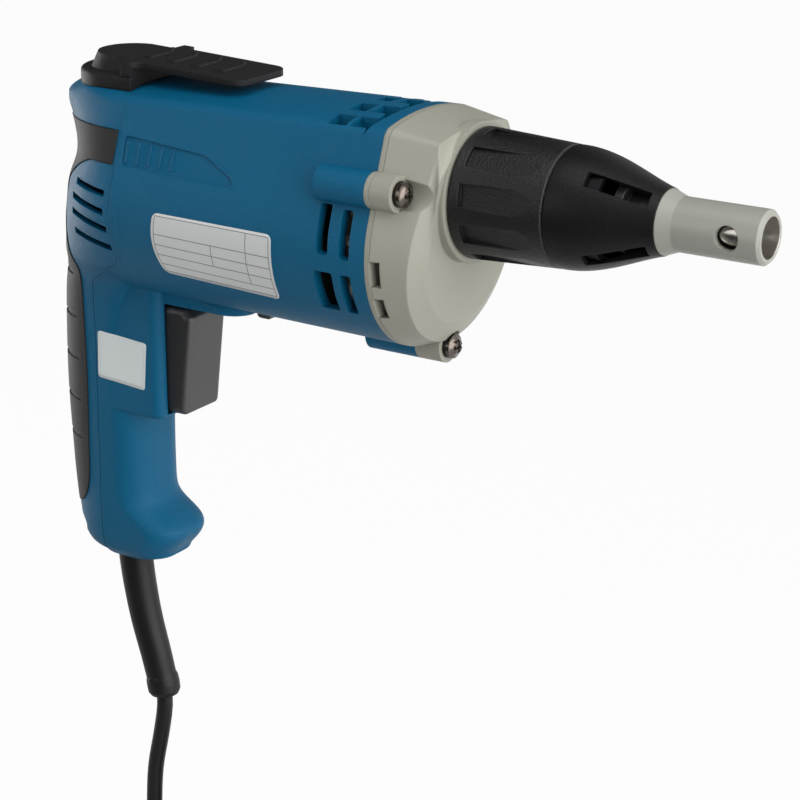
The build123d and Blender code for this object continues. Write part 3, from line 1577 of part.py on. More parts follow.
with BuildPart() as clamp_screws:
    for side in (-1, 1):
        rod(clamp_x - clamp_thickness - 2, clamp_x - clamp_thickness - running_gap, clamp_screw_radius * 2,
            side * clamp_screw_side, clamp_height)
        rod(clamp_x - clamp_thickness - running_gap, clamp_rib_x + clamp_rib_depth - 2, clamp_screw_radius,
            side * clamp_screw_side, clamp_height)

coil_x = lead_points[-1][0] + coil_outer_radius
coil_z = lead_points[-1][1] - cord_diameter


def coil_point(turns):
    """Middle of the wound lead after so many turns: spirals in layers, half a turn to climb."""
    layer = 0
    left = turns
    span = coil_turns_per_layer
    while left > span + 0.5 and layer < coil_layers - 1:
        left -= span + 0.5
        layer += 1
    climb = min(max(left - span, 0), 0.5) * 2 if layer < coil_layers - 1 else 0
    travel = min(left, span) if layer < coil_layers - 1 else left
    inward = layer % 2 == 0
    shrink = travel if inward else span - travel
    radius = coil_outer_radius - coil_pitch * shrink
    angle = pi + 2 * pi * turns
    return Vector(
        coil_x + radius * cos(angle), coil_pitch * (layer + climb), coil_z + radius * sin(angle))


coil_turns = (coil_turns_per_layer + 0.5) * (coil_layers - 1) + coil_turns_per_layer - 0.5
coil_points = [coil_point(step / 4) for step in range(round(coil_turns * 4) + 1)]
coil_tangents = [Vector(0, 0, -1)]
for step in range(1, round(coil_turns * 4)):
    coil_tangents.append((coil_point(step / 4 + 0.02) - coil_point(step / 4 - 0.02)).normalized())
coil_tangents.append(Vector(0, 0, -1))
tail_end = coil_points[-1] - Vector(0, 0, coil_tail)

with BuildPart() as cord_coil:
    with BuildLine() as coil_line:
        Line(coil_points[0] + Vector(0, 0, cord_diameter), coil_points[0])
        wind(coil_points, coil_tangents)
        Line(coil_points[-1], tail_end)
    with BuildSketch(Plane(origin=coil_points[0] + Vector(0, 0, cord_diameter), z_dir=(0, 0, -1))):
        Circle(cord_diameter / 2)
    sweep()
coil_wire = Wire(coil_line.edges())
samples = [coil_wire @ (step / 600) for step in range(601)]
skip = round(3 * cord_diameter / coil_wire.length * 600)
least = min(
    (samples[one] - samples[other]).length
    for one in range(601) for other in range(one + skip, 601)
)
print("coil length", round(coil_wire.length, 1), "least gap between turns", round(least - cord_diameter, 2),
      "volume against section by length",
      round(cord_coil.part.volume / (pi * cord_diameter**2 / 4 * coil_wire.length), 4))

with BuildPart() as coil_tie:
    tie_depth = coil_pitch * (coil_layers - 1) + cord_diameter + 2 * tie_slack
    tie_height = coil_pitch * coil_turns_per_layer + cord_diameter + 2 * tie_slack
    tie_z = coil_z + coil_outer_radius - coil_pitch * coil_turns_per_layer / 2
    tie_y = coil_pitch * (coil_layers - 1) / 2
    with BuildSketch(Plane.YZ.offset(coil_x - tie_width / 2)):
        with Locations((tie_y, tie_z)):
            RectangleRounded(tie_depth + 2 * tie_wall, tie_height + 2 * tie_wall, 3)
            RectangleRounded(tie_depth, tie_height, 1.5, mode=Mode.SUBTRACT)
    extrude(amount=tie_width)

with BuildPart() as plug_body:
    with BuildSketch(Plane.XY.offset(tail_end.Z - plug_length)):
        with Locations((tail_end.X, tail_end.Y)):
            RectangleRounded(plug_width, plug_depth, 4)
    extrude(amount=plug_length - seat_gap)
    chamfer(plug_body.faces().sort_by(Axis.Z)[-1].edges(), 3)

with BuildPart() as plug_pins:
    for side in (-1, 1):
        block(
            (tail_end.X + side * pin_spacing / 2 - pin_thickness / 2,
             tail_end.X + side * pin_spacing / 2 + pin_thickness / 2),
            (tail_end.Y - pin_width / 2, tail_end.Y + pin_width / 2),
            (tail_end.Z - plug_length - pin_length, tail_end.Z - plug_length - seat_gap),
        )

# Every finished piece under its own name
pieces = {
    "motor_housing": motor_housing,
    "rear_cover": rear_cover,
    "rear_grip": rear_grip,
    "belt_hook": belt_hook,
    "hook_screw": hook_screw,
    "trigger": trigger,
    "switch_body": switch_body,
    "trigger_spring": trigger_spring,
    "lock_button": lock_button,
    "reversing_lever": reversing_lever,
    "capacitor": capacitor,
    "bearing_plate": bearing_plate,
    "gear_housing": gear_housing,
    "housing_screws": housing_screws,
    "screw_washers": screw_washers,
    "cover_screws": cover_screws,
    "armature_shaft": armature_shaft,
    "armature_core": armature_core,
    "armature_winding": armature_winding,
    "commutator": commutator,
    "cooling_fan": cooling_fan,
    "front_bearing": front_bearing,
    "rear_bearing": rear_bearing,
    "bearing_boot": bearing_boot,
    "stator_core": stator_core,
    "stator_coils": stator_coils,
    "stator_screws": stator_screws,
    "fan_baffle": fan_baffle,
    "brush_holders": brush_holders,
    "carbon_brushes": carbon_brushes,
    "brush_springs": brush_springs,
    "drive_gear": drive_gear,
    "clutch_spring": clutch_spring,
    "spindle": spindle,
    "spindle_bush": spindle_bush,
    "tail_bush": tail_bush,
    "thrust_washer": thrust_washer,
    "bit_holder": bit_holder,
    "depth_ring": depth_ring,
    "locator_carrier": locator_carrier,
    "locator_sleeve": locator_sleeve,
    "locator_nose": locator_nose,
    "cord_guard": cord_guard,
    "cord_lead": cord_lead,
    "cord_clamp": cord_clamp,
    "clamp_screws": clamp_screws,
    "cord_coil": cord_coil,
    "coil_tie": coil_tie,
    "plug_body": plug_body,
    "plug_pins": plug_pins,
}
for name, piece in pieces.items():
    piece.part.label = name
    export_step(piece.part, f"parts/{name}.step")
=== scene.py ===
import math

import bmesh
import bpy
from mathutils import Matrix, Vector
from mathutils.bvhtree import BVHTree


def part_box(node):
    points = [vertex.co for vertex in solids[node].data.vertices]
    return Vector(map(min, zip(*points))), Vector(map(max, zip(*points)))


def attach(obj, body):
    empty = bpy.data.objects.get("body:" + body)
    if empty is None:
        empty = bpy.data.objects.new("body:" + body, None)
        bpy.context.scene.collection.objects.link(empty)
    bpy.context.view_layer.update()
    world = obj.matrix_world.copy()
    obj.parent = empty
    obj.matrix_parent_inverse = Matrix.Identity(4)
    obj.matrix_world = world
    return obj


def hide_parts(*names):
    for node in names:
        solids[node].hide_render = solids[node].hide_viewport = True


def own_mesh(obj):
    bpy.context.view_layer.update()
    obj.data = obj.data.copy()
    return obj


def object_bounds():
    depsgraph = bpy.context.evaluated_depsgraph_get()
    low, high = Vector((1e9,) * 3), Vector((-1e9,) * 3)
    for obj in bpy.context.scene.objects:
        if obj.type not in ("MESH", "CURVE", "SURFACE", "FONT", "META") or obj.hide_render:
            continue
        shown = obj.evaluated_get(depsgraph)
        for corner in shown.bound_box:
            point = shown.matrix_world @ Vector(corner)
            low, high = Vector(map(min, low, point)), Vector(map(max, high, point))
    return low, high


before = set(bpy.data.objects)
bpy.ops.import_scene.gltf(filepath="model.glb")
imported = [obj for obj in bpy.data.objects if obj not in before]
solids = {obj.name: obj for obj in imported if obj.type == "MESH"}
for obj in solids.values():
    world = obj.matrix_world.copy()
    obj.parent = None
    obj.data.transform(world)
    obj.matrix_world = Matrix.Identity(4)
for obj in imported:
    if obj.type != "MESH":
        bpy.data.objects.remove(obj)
cad_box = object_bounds()
scene = bpy.context.scene
scene.view_settings.view_transform = "Standard"

# Camera where the photograph was taken from: right of the tool, ahead of it and above.
# A long lens on a square frame, so that the nose hardly looms.

def linked(name, data):
    """A new object in the scene that shows some data."""
    thing = bpy.data.objects.new(name, data)
    scene.collection.objects.link(thing)
    return thing


view_azimuth = math.radians(33.17)
view_height = math.radians(19.23)
view_back = Vector((
    math.sin(view_azimuth) * math.cos(view_height),
    -math.cos(view_azimuth) * math.cos(view_height),
    math.sin(view_height),
))
camera = linked("camera", bpy.data.cameras.new("camera"))
camera.data.lens = 108.0
camera.data.sensor_width = 36.0
camera.location = (0.5545, -0.6655, 0.2919)
camera.rotation_mode = "QUATERNION"
camera.rotation_quaternion = view_back.to_track_quat("Z", "Y")
scene.camera = camera


# Mains lead: one round rubber cable, out of the handle, down in a slack S and then put away
# in four layers of turns under a tie, with a moulded plug on its end.

def ink(red, green, blue):
    """A colour as it is read off a screen, 0 to 255, for a shader's socket."""
    shares = [value / 255 for value in (red, green, blue)]
    return [s / 12.92 if s <= 0.04045 else ((s + 0.055) / 1.055) ** 2.4 for s in shares] + [1.0]


class Wire:
    """One value in a finish: sums and products of wires add their own Math nodes."""

    def __init__(self, finish, socket):
        self.finish = finish
        self.socket = socket

    def maths(self, operation, first, second):
        return self.finish.make("ShaderNodeMath", {"operation": operation}, {0: first, 1: second})

    def __add__(self, other):
        return self.maths("ADD", self, other)

    def __radd__(self, other):
        return self.maths("ADD", other, self)

    def __sub__(self, other):
        return self.maths("SUBTRACT", self, other)

    def __rsub__(self, other):
        return self.maths("SUBTRACT", other, self)

    def __mul__(self, other):
        return self.maths("MULTIPLY", self, other)

    def __rmul__(self, other):
        return self.maths("MULTIPLY", other, self)


class Finish:
    """One tree of nodes, a new material's unless it is given, with a method that makes any node in it."""

    def __init__(self, name, tree=None):
        self.material = None
        self.tree = tree
        if tree is None:
            self.material = bpy.data.materials.new(name)
            self.material.use_nodes = True
            self.tree = self.material.node_tree
            self.shader = self.tree.nodes["Principled BSDF"]

    def make(self, kind, settings, sockets, output=0):
        node = self.tree.nodes.new(kind)
        for name, value in settings.items():
            setattr(node, name, value)
        self.join(node, sockets)
        return Wire(self, node.outputs[output])

    def join(self, node, sockets):
        for key, value in sockets.items():
            if isinstance(value, Wire):
                self.tree.links.new(value.socket, node.inputs[key])
            else:
                node.inputs[key].default_value = value

    def place(self, stretch=(1.0, 1.0, 1.0)):
        """Object coordinates in metres, stretched along the axes for a pattern with a direction."""
        where = self.make("ShaderNodeTexCoord", {}, {}, "Object")
        return self.make("ShaderNodeMapping", {}, {"Vector": where, "Scale": stretch})

    def noise(self, where, scale, detail=2.0, roughness=0.5):
        return self.make("ShaderNodeTexNoise", {}, {
            "Vector": where, "Scale": scale, "Detail": detail, "Roughness": roughness,
        })

    def blend(self, share, first, second):
        """A colour between two colours."""
        return self.make("ShaderNodeMix", {"data_type": "RGBA"}, {0: share, 6: first, 7: second}, 2)

    def ramp(self, value, low, high):
        """0 below low, 1 above high."""
        return self.make("ShaderNodeMapRange", {"interpolation_type": "SMOOTHSTEP"}, {
            "Value": value, "From Min": low, "From Max": high,
        })

    def stroke(self, value, place, half):
        """1 where a value lies within half a stroke of a place."""
        return 1 - self.ramp(value.maths("ABSOLUTE", value - place, 0.0), half * 0.6, half)

    def soft_edges(self, radius):
        """The surface's direction with its sharp edges broken by a small radius."""
        return self.make("ShaderNodeBevel", {"samples": 4}, {"Radius": radius})

    def edge_mask(self, softened):
        """1 along the broken edges and 0 on the flats."""
        straight = self.make("ShaderNodeNewGeometry", {}, {}, "Normal")
        return self.ramp(1 - self.dot(softened, straight), 0.01, 0.2)

    def dot(self, first, second):
        """How far one direction runs along another."""
        return self.make("ShaderNodeVectorMath", {"operation": "DOT_PRODUCT"}, {0: first, 1: second}, "Value")

    def rays(self):
        """1 for what the camera sees, what gloss mirrors and what shows through, one wire each."""
        kinds = ("Is Camera Ray", "Is Glossy Ray", "Is Transmission Ray")
        return [self.make("ShaderNodeLightPath", {}, {}, kind) for kind in kinds]

    def bump(self, height, strength, distance, normal):
        return self.make("ShaderNodeBump", {}, {
            "Height": height, "Strength": strength, "Distance": distance, "Normal": normal,
        })


def shade(colour, factor):
    """The same colour, lighter or darker."""
    return [min(value * factor, 1.0) for value in colour[:3]] + [1.0]


def moulded(
    name, colour, gloss, shine, grain=2600.0, relief=0.35, edge=0.0005, edge_light=1.3, cloud=0.05,
):
    """Moulded plastic or rubber: spark-eroded grain, faint clouding, and edges painted lighter in patches,
    partly rubbed wear and partly a painted highlight.
    """
    finish = Finish(name)
    where = finish.place()
    pits = finish.noise(where, grain, 3.0, 0.6)
    drift = finish.noise(where, 38.0, 3.0)
    softened = finish.soft_edges(edge)
    # Edges painted lighter in patches: partly rubbed wear, partly a painted highlight on the rounded edges.
    rubbed_and_highlit = finish.edge_mask(softened) * finish.ramp(finish.noise(where, 160.0, 4.0), 0.35, 0.75)
    body = finish.blend(drift, shade(colour, 1 - cloud), shade(colour, 1 + cloud))
    body = finish.blend(finish.ramp(pits, 0.3, 0.7) * 0.5, body, shade(colour, 0.86))
    finish.shader.inputs["Specular IOR Level"].default_value = shine
    finish.join(finish.shader, {
        "Base Color": finish.blend(rubbed_and_highlit * 0.5, body, shade(colour, edge_light)),
        "Roughness": gloss + 0.16 * (pits - 0.5) + 0.08 * (drift - 0.5),
        "Normal": finish.bump(pits, relief, 0.0003, softened),
    })
    return finish.material


def dress(material, *names):
    """Puts a finish on solids of the frame."""
    for name in names:
        slots = solids[name].material_slots
        if not slots:
            solids[name].data.materials.append(material)
        for slot in slots:
            slot.material = material


lead_route = [
    (-4.0, -44.0), (-4.0, -62.0), (-2.6, -79.0), (0.6, -97.0), (5.6, -114.0), (9.6, -130.0),
    (6.4, -147.0), (2.4, -163.0), (1.2, -182.0), (0.7, -202.0), (0.7, -222.0),
]
lead_diameter = 6.4
wound_middle = (42.7, -228.4)
wound_radius = 42.0
wound_pitch = 8.0
wound_span = 2
wound_layers = 4
wound_turns = 9.0
wound_steps = 24
lead_tail = 44.0


def wound_point(turns):
    """Middle of the put-away lead after so many turns: in and out in layers, half a turn to climb."""
    layer = 0
    left = turns
    while left > wound_span + 0.5 and layer < wound_layers - 1:
        left -= wound_span + 0.5
        layer += 1
    last = layer == wound_layers - 1
    climb = 0.0 if last else min(max(left - wound_span, 0.0), 0.5) * 2
    travel = left if last else min(left, wound_span)
    shrink = travel if layer % 2 == 0 else wound_span - travel
    radius = wound_radius - wound_pitch * shrink
    angle = math.pi + 2 * math.pi * turns
    return (
        wound_middle[0] + radius * math.cos(angle),
        wound_pitch * (layer + climb),
        wound_middle[1] + radius * math.sin(angle),
    )


lead_points = [(x, 0.0, z) for x, z in lead_route]
lead_points += [wound_point(step / wound_steps) for step in range(round(wound_turns * wound_steps) + 1)]
tail_x, tail_y, tail_z = lead_points[-1]
lead_points += [(tail_x, tail_y, tail_z - lead_tail / 2), (tail_x, tail_y, tail_z - lead_tail)]

lead_curve = bpy.data.curves.new("mains_lead", "CURVE")
lead_curve.dimensions = "3D"
lead_curve.bevel_depth = lead_diameter / 2000
lead_curve.bevel_resolution = 5
lead_curve.resolution_u = 4
lead_curve.use_fill_caps = True
lead_spline = lead_curve.splines.new("NURBS")
lead_spline.points.add(len(lead_points) - 1)
for point, (x, y, z) in zip(lead_spline.points, lead_points):
    point.co = (x / 1000, y / 1000, z / 1000, 1.0)
lead_spline.order_u = 3
lead_spline.use_endpoint_u = True
mains_lead = linked("mains_lead", lead_curve)

lead_rubber = moulded("lead_rubber", ink(13, 13, 15), 0.4, 0.3, 1500.0, 0.15, 0.0003, 1.2)
lead_curve.materials.append(lead_rubber)
guard_rubber = moulded("guard_rubber", ink(14, 14, 16), 0.45, 0.3, 1900.0, 0.25, 0.0005, 1.25)
tie_plastic = moulded("tie_plastic", ink(18, 18, 20), 0.4, 0.25)
dress(guard_rubber, "cord_guard", "plug_body")
dress(tie_plastic, "coil_tie")

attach(mains_lead, "tool")
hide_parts("cord_lead", "cord_coil")


# Rings moulded round the plug's neck, where the lead enters it: soft ribs that let the neck bend.
# One tree of rings on a line, each ring a little smaller than the one below it.

plug_low, plug_high = (Vector(corner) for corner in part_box("plug_body"))
neck_rings = 5
neck_spacing = 0.0026
neck_ring_radius = 0.0052
neck_ring_wire = 0.0011
neck_ring_sides = 40
neck_wire_sides = 12
neck_taper = 0.05


def ring_tree(name):
    """Rings in a row along Z, from a count, a spacing, a radius and a thickness."""
    tree = bpy.data.node_groups.new(name, "GeometryNodeTree")
    tree.interface.new_socket("Geometry", in_out="OUTPUT", socket_type="NodeSocketGeometry")
    inputs = {}
    for label, kind in (
        ("Count", "NodeSocketInt"), ("Spacing", "NodeSocketFloat"), ("Radius", "NodeSocketFloat"),
        ("Thickness", "NodeSocketFloat"), ("Finish", "NodeSocketMaterial"),
    ):
        inputs[label] = tree.interface.new_socket(label, in_out="INPUT", socket_type=kind).identifier
    row = Finish(name, tree)
    given = {label: row.make("NodeGroupInput", {}, {}, label) for label in inputs}
    step = row.make("ShaderNodeCombineXYZ", {}, {"Z": given["Spacing"]})
    line = row.make("GeometryNodeMeshLine", {}, {"Count": given["Count"], "Offset": step})
    ring = row.make("GeometryNodeCurvePrimitiveCircle", {}, {
        "Resolution": neck_ring_sides, "Radius": given["Radius"],
    })
    section = row.make("GeometryNodeCurvePrimitiveCircle", {}, {
        "Resolution": neck_wire_sides, "Radius": given["Thickness"],
    })
    tube = row.make("GeometryNodeCurveToMesh", {}, {"Curve": ring, "Profile Curve": section})
    taper = 1 - row.make("GeometryNodeInputIndex", {}, {}) * neck_taper
    rings = row.make("GeometryNodeInstanceOnPoints", {}, {"Points": line, "Instance": tube, "Scale": taper})
    real = row.make("GeometryNodeRealizeInstances", {}, {"Geometry": rings})
    painted_rings = row.make("GeometryNodeSetMaterial", {}, {"Geometry": real, "Material": given["Finish"]})
    row.join(tree.nodes.new("NodeGroupOutput"), {"Geometry": painted_rings})
    return tree, inputs


def plain_mesh(holder):
    """The mesh that a holder's curve or modifier comes to, smooth all over. The holder goes."""
    bpy.context.view_layer.update()
    mesh = bpy.data.meshes.new_from_object(holder.evaluated_get(bpy.context.evaluated_depsgraph_get()))
    bpy.data.objects.remove(holder)
    for face in mesh.polygons:
        face.use_smooth = True
    return mesh


def grown(name, tree, inputs, values, place):
    """A plain mesh from a tree of nodes with these inputs, set down at a place."""
    holder = linked(name + "_maker", bpy.data.meshes.new(name + "_maker"))
    maker = holder.modifiers.new("maker", "NODES")
    maker.node_group = tree
    for label, value in values.items():
        maker[inputs[label]] = value
    mesh = plain_mesh(holder)
    for vertex in mesh.vertices:
        vertex.co += place
    return linked(name, mesh)


neck_tree, neck_inputs = ring_tree("neck_rings")
plug_rings = grown("plug_rings", neck_tree, neck_inputs, {
    "Count": neck_rings, "Spacing": neck_spacing, "Radius": neck_ring_radius,
    "Thickness": neck_ring_wire, "Finish": guard_rubber,
}, Vector((tail_x / 1000, tail_y / 1000, plug_high.z + neck_ring_wire)))
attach(plug_rings, "tool")


# Floor and light: a pale sweep under the tool and four soft boxes round it.
# The floor and the sky show white to the camera, and to gloss where it faces the sweep's bright end.

floor_drop = 0.004
floor_half = 4.0
floor_near = 0.45
floor_white = 0.96
floor_grey = (0.5, 0.5, 0.5, 1.0)
plain_white = (1.0, 1.0, 1.0, 1.0)
sweep_axis = (0.8, 0.6, 0.0)
floor_mesh = bpy.data.meshes.new("floor")
floor_z = cad_box[0][2] - floor_drop
floor_mesh.from_pydata(
    [(-floor_half, -floor_near, floor_z), (floor_half, -floor_near, floor_z),
     (floor_half, floor_half, floor_z), (-floor_half, floor_half, floor_z)],
    [], [(0, 1, 2, 3)],
)
floor = linked("floor", floor_mesh)
floor_paint = Finish("floor_paint")
floor_paint.join(floor_paint.shader, {"Base Color": floor_grey, "Roughness": 0.9})
seen, mirrored, through = floor_paint.rays()
white = floor_paint.make("ShaderNodeEmission", {}, {"Color": plain_white, "Strength": 1.0})
matt = Wire(floor_paint, floor_paint.shader.outputs["BSDF"])
sweep_share = floor_paint.ramp(floor_paint.dot(floor_paint.place(), sweep_axis), -0.1, 0.4)
shown = floor_paint.make("ShaderNodeMixShader", {}, {
    0: (seen + mirrored * sweep_share + through) * floor_white, 1: matt, 2: white,
})
floor_paint.join(floor_paint.tree.nodes["Material Output"], {"Surface": shown})
floor_mesh.materials.append(floor_paint.material)

sky_plain = 0.28
sky_flag = 0.8
world = bpy.data.worlds.new("studio")
world.use_nodes = True
scene.world = world
sky = Finish("studio", world.node_tree)
sky_seen, sky_mirrored, sky_through = sky.rays()
sky_way = sky.make("ShaderNodeTexCoord", {}, {}, "Generated")
sky_sweep = sky.ramp(sky.dot(sky_way, sweep_axis), 0.1, 0.7)
sky_share = sky_seen + sky_mirrored * sky_sweep + sky_through
sky_light = sky_plain * (1 - sky_mirrored * (1 - sky_sweep) * sky_flag)
sky.join(world.node_tree.nodes["Background"], {
    "Color": plain_white,
    "Strength": sky_light + sky_share.maths("MINIMUM", sky_share, 1.0) * (1 - sky_plain),
})


def soft_box(name, place, aim, size, power):
    """A square studio light that faces a point on the tool."""
    lamp = bpy.data.lights.new(name, "AREA")
    lamp.shape = "SQUARE"
    lamp.size = size
    lamp.energy = power
    box = linked(name, lamp)
    box.location = place
    box.rotation_mode = "QUATERNION"
    box.rotation_quaternion = (Vector(place) - Vector(aim)).to_track_quat("Z", "Y")


light_aim = (0.1, 0.0, 0.05)
soft_box("box_top", (0.15, -0.35, 1.3), light_aim, 1.0, 8.5)
soft_box("box_front", (0.9, -0.12, 0.27), light_aim, 1.1, 12.4)
soft_box("box_side", (-0.45, -1.3, 0.55), light_aim, 0.9, 4.5)
soft_box("box_rear", (-1.1, 0.1, -0.02), light_aim, 0.7, 6.5)


# Blue housing and rear cover: glass-filled nylon, moulded in colour with a fine spark grain.
# The cover is screwed to the housing from behind, with a dark line where they meet.

blue_nylon = moulded("blue_nylon", ink(0, 86, 121), 0.42, 0.18, 2000.0, 0.9, 0.0005, 1.15, 0.04)
dress(blue_nylon, "motor_housing", "rear_cover")


# Name plate: a blank printed film, pale silver, stuck to the round flank of the barrel.
# It bends round the belly; a thin grey line runs inside its edge, and others rule it into empty cells.

film_lift = 0.00012
film_stroke = 0.009
film_reach = 0.2


def skin(*names):
    """The faces of some solids, ready to be met by a line from outside."""
    faces = bmesh.new()
    for name in names:
        faces.from_mesh(solids[name].data)
    tree = BVHTree.FromBMesh(faces)
    faces.free()
    return tree


def film(name, corners, corner_radius, surface, material, columns=40, rows=16, bow=0.0):
    """A thin film with rounded corners on the tool's right side. Corners go round from the top rear."""
    top_rear, top_front, low_front, low_rear = (Vector(corner) for corner in corners)
    length = (top_front - top_rear).length
    height = (top_rear - low_rear).length
    shares = [0.5 - 0.5 * math.cos(math.pi * number / columns) for number in range(columns + 1)]
    mesh = bmesh.new()
    uv = mesh.loops.layers.uv.new("film")
    grid = []
    for share in shares:
        reach = min(share, 1 - share) * length
        cut = 0.0
        if reach < corner_radius:
            cut = (corner_radius - math.sqrt(corner_radius**2 - (corner_radius - reach) ** 2)) / height
        column = []
        for number in range(rows + 1):
            down = cut + (1 - 2 * cut) * number / rows
            rear = top_rear.lerp(low_rear, down)
            front = top_front.lerp(low_front, down)
            spot = rear.lerp(front, share)
            x = spot.x - bow * math.sin(math.pi * down) * (1 - share)
            met = surface.ray_cast(Vector((x, -film_reach, spot.y)), Vector((0.0, 1.0, 0.0)))[0]
            column.append((mesh.verts.new((x, met.y - film_lift, spot.y)), share, down))
        grid.append(column)
    for left, right in zip(grid, grid[1:]):
        for number in range(rows):
            ring = [left[number], left[number + 1], right[number + 1], right[number]]
            face = mesh.faces.new([corner[0] for corner in ring])
            face.smooth = True
            for loop, corner in zip(face.loops, ring):
                loop[uv].uv = corner[1:]
    data = bpy.data.meshes.new(name)
    mesh.to_mesh(data)
    mesh.free()
    data.materials.append(material)
    piece = linked(name, data)
    wall = piece.modifiers.new("wall", "SOLIDIFY")
    wall.thickness = film_lift * 0.8
    wall.offset = -1.0
    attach(piece, "tool")
    return piece


def printed_film(name, colour, line_colour, edge_line, shape, gloss, rows=(), columns=()):
    """Smooth coated film with a thin line inside its edge, and lines that divide it into empty cells."""
    finish = Finish(name)
    where = finish.place()
    spot = finish.make("ShaderNodeUVMap", {"uv_map": "film"}, {})
    across = finish.make("ShaderNodeSeparateXYZ", {}, {"Vector": spot}, "X")
    down = finish.make("ShaderNodeSeparateXYZ", {}, {"Vector": spot}, "Y")
    side_gap = across.maths("MINIMUM", across, 1 - across) * shape
    end_gap = down.maths("MINIMUM", down, 1 - down)
    lines = finish.stroke(side_gap.maths("MINIMUM", side_gap, end_gap), edge_line, film_stroke)
    framed = side_gap.maths("GREATER_THAN", side_gap.maths("MINIMUM", side_gap, end_gap), edge_line)
    for row in rows:
        lines = lines.maths("MAXIMUM", lines, finish.stroke(down, row, film_stroke) * framed)
    for column, start, end in columns:
        inside = down.maths("GREATER_THAN", down, start) * down.maths("LESS_THAN", down, end) * framed
        lines = lines.maths("MAXIMUM", lines, finish.stroke(across, column, film_stroke / shape) * inside)
    fibre = finish.noise(where, 900.0, 3.0)
    drift = finish.noise(where, 30.0, 2.0)
    body = finish.blend(drift, shade(colour, 0.96), shade(colour, 1.03))
    finish.shader.inputs["Specular IOR Level"].default_value = 0.3
    finish.join(finish.shader, {
        "Base Color": finish.blend(lines * 0.8, body, line_colour),
        "Roughness": gloss + 0.12 * (fibre - 0.5),
        "Normal": finish.bump(fibre, 0.1, 0.00005, finish.soft_edges(0.00005)),
    })
    return finish.material


plate_rows = (0.34, 0.51, 0.67, 0.83)
plate_columns = ((0.5, 0.34, 0.67), (0.79, 0.0, 0.83))
plate_film = printed_film(
    "plate_film", ink(196, 197, 197), ink(92, 94, 97), 0.045, 2.1, 0.34, plate_rows, plate_columns,
)
name_plate = film(
    "name_plate",
    ((0.0402, 0.0789), (0.0915, 0.0786), (0.0907, 0.0541), (0.0413, 0.0562)),
    0.0022, skin("motor_housing"), plate_film, bow=0.0017,
)


# Moulded lines in the housing's sides: a short rib ahead of the seam, and a plain arrow
# on the pad over the lever. They stand a hair proud of the skin, on both sides alike.

line_height = 0.00022


def moulded_line(name, routes, width, material):
    """Fine ribs along routes of X and Z, laid on both sides of the housing."""
    surface = skin("motor_housing")
    line = bpy.data.curves.new(name, "CURVE")
    line.dimensions = "3D"
    line.bevel_depth = width / 2
    line.bevel_resolution = 3
    line.use_fill_caps = True
    for side in (-1, 1):
        for route in routes:
            run = line.splines.new("NURBS")
            run.points.add(len(route) - 1)
            for point, (x, z) in zip(run.points, route):
                met = surface.ray_cast(Vector((x, side * film_reach, z)), Vector((0.0, -side, 0.0)))[0]
                point.co = (x, met.y + side * (line_height - width / 2), z, 1.0)
            run.order_u = 3
            run.use_endpoint_u = True
    mesh = plain_mesh(linked(name + "_curve", line))
    mesh.materials.clear()
    mesh.materials.append(material)
    piece = linked(name, mesh)
    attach(piece, "tool")


moulded_line("seam_ribs", [
    [(0.0228, 0.0791), (0.0234, 0.0742), (0.0235, 0.0693), (0.0226, 0.0635), (0.0211, 0.0578)],
], 0.0008, blue_nylon)
moulded_line("swing_arrows", [
    [(0.0440, 0.0408), (0.0458, 0.0402), (0.0476, 0.0400), (0.0503, 0.0398), (0.0530, 0.0397)],
    [(0.0476, 0.0400), (0.0488, 0.0404), (0.0500, 0.0407)],
], 0.0007, blue_nylon)


# Handle sticker: a small blank square of silver film on the flat of the grip, across the seam.
# It is stuck on by hand, with a faint darker line inside its edge.

sticker_film = printed_film("sticker_film", ink(206, 212, 211), ink(186, 193, 194), 0.05, 1.1, 0.3)
handle_sticker = film(
    "handle_sticker",
    ((-0.0038, 0.0233), (0.0188, 0.0217), (0.0173, 0.0033), (-0.0046, 0.0049)),
    0.0012, skin("motor_housing", "rear_cover"), sticker_film, columns=24, rows=10,
)


# Black rubber over the back of the cover, dull and a little dusty, moulded on in a second shot.
# Grooves across it keep the hand from sliding.

grip_rubber = moulded("grip_rubber", ink(38, 37, 37), 0.58, 0.3, 1700.0, 0.35, 0.0008, 1.2, 0.06)
dress(grip_rubber, "rear_grip")


# Black nylon pieces: belt hook, trigger, lever and lock button, moulded with a spark grain.
# The hook is screwed to the cover; the others slide or swing in slots of the housing.

black_nylon = moulded("black_nylon", ink(28, 28, 29), 0.5, 0.2, 1700.0, 0.6, 0.0009, 2.2)
trigger_nylon = moulded("trigger_nylon", ink(19, 19, 20), 0.42, 0.9, 2200.0, 0.35, 0.0008, 1.3)
dress(black_nylon, "belt_hook")
dress(trigger_nylon, "trigger", "reversing_lever", "lock_button")


# Depth ring and locator sleeve: black nylon with a coarser, shinier grain than the hook's.
# The ring turns on a thread to set the depth, and the sleeve pulls off forwards with the nose.

ring_nylon = moulded("ring_nylon", ink(16, 16, 17), 0.38, 0.4, 1300.0, 1.0, 0.0006, 2.2)
sleeve_nylon = moulded("sleeve_nylon", ink(19, 19, 20), 0.36, 0.16, 1700.0, 0.5, 0.0005, 1.4)
dress(ring_nylon, "depth_ring")
dress(sleeve_nylon, "locator_sleeve")


# Gear housing, bearing plate and nose: cast and turned metal under warm grey paint.
# The paint lies thick, with a slight orange peel, and its edges are painted lighter as a painted highlight.

bore_steel = ink(196, 192, 186)
# Painted shade for the part of the nose that sits inside the sleeve.
sleeve_shade_black = ink(30, 30, 32)
paint_edge = 0.0003


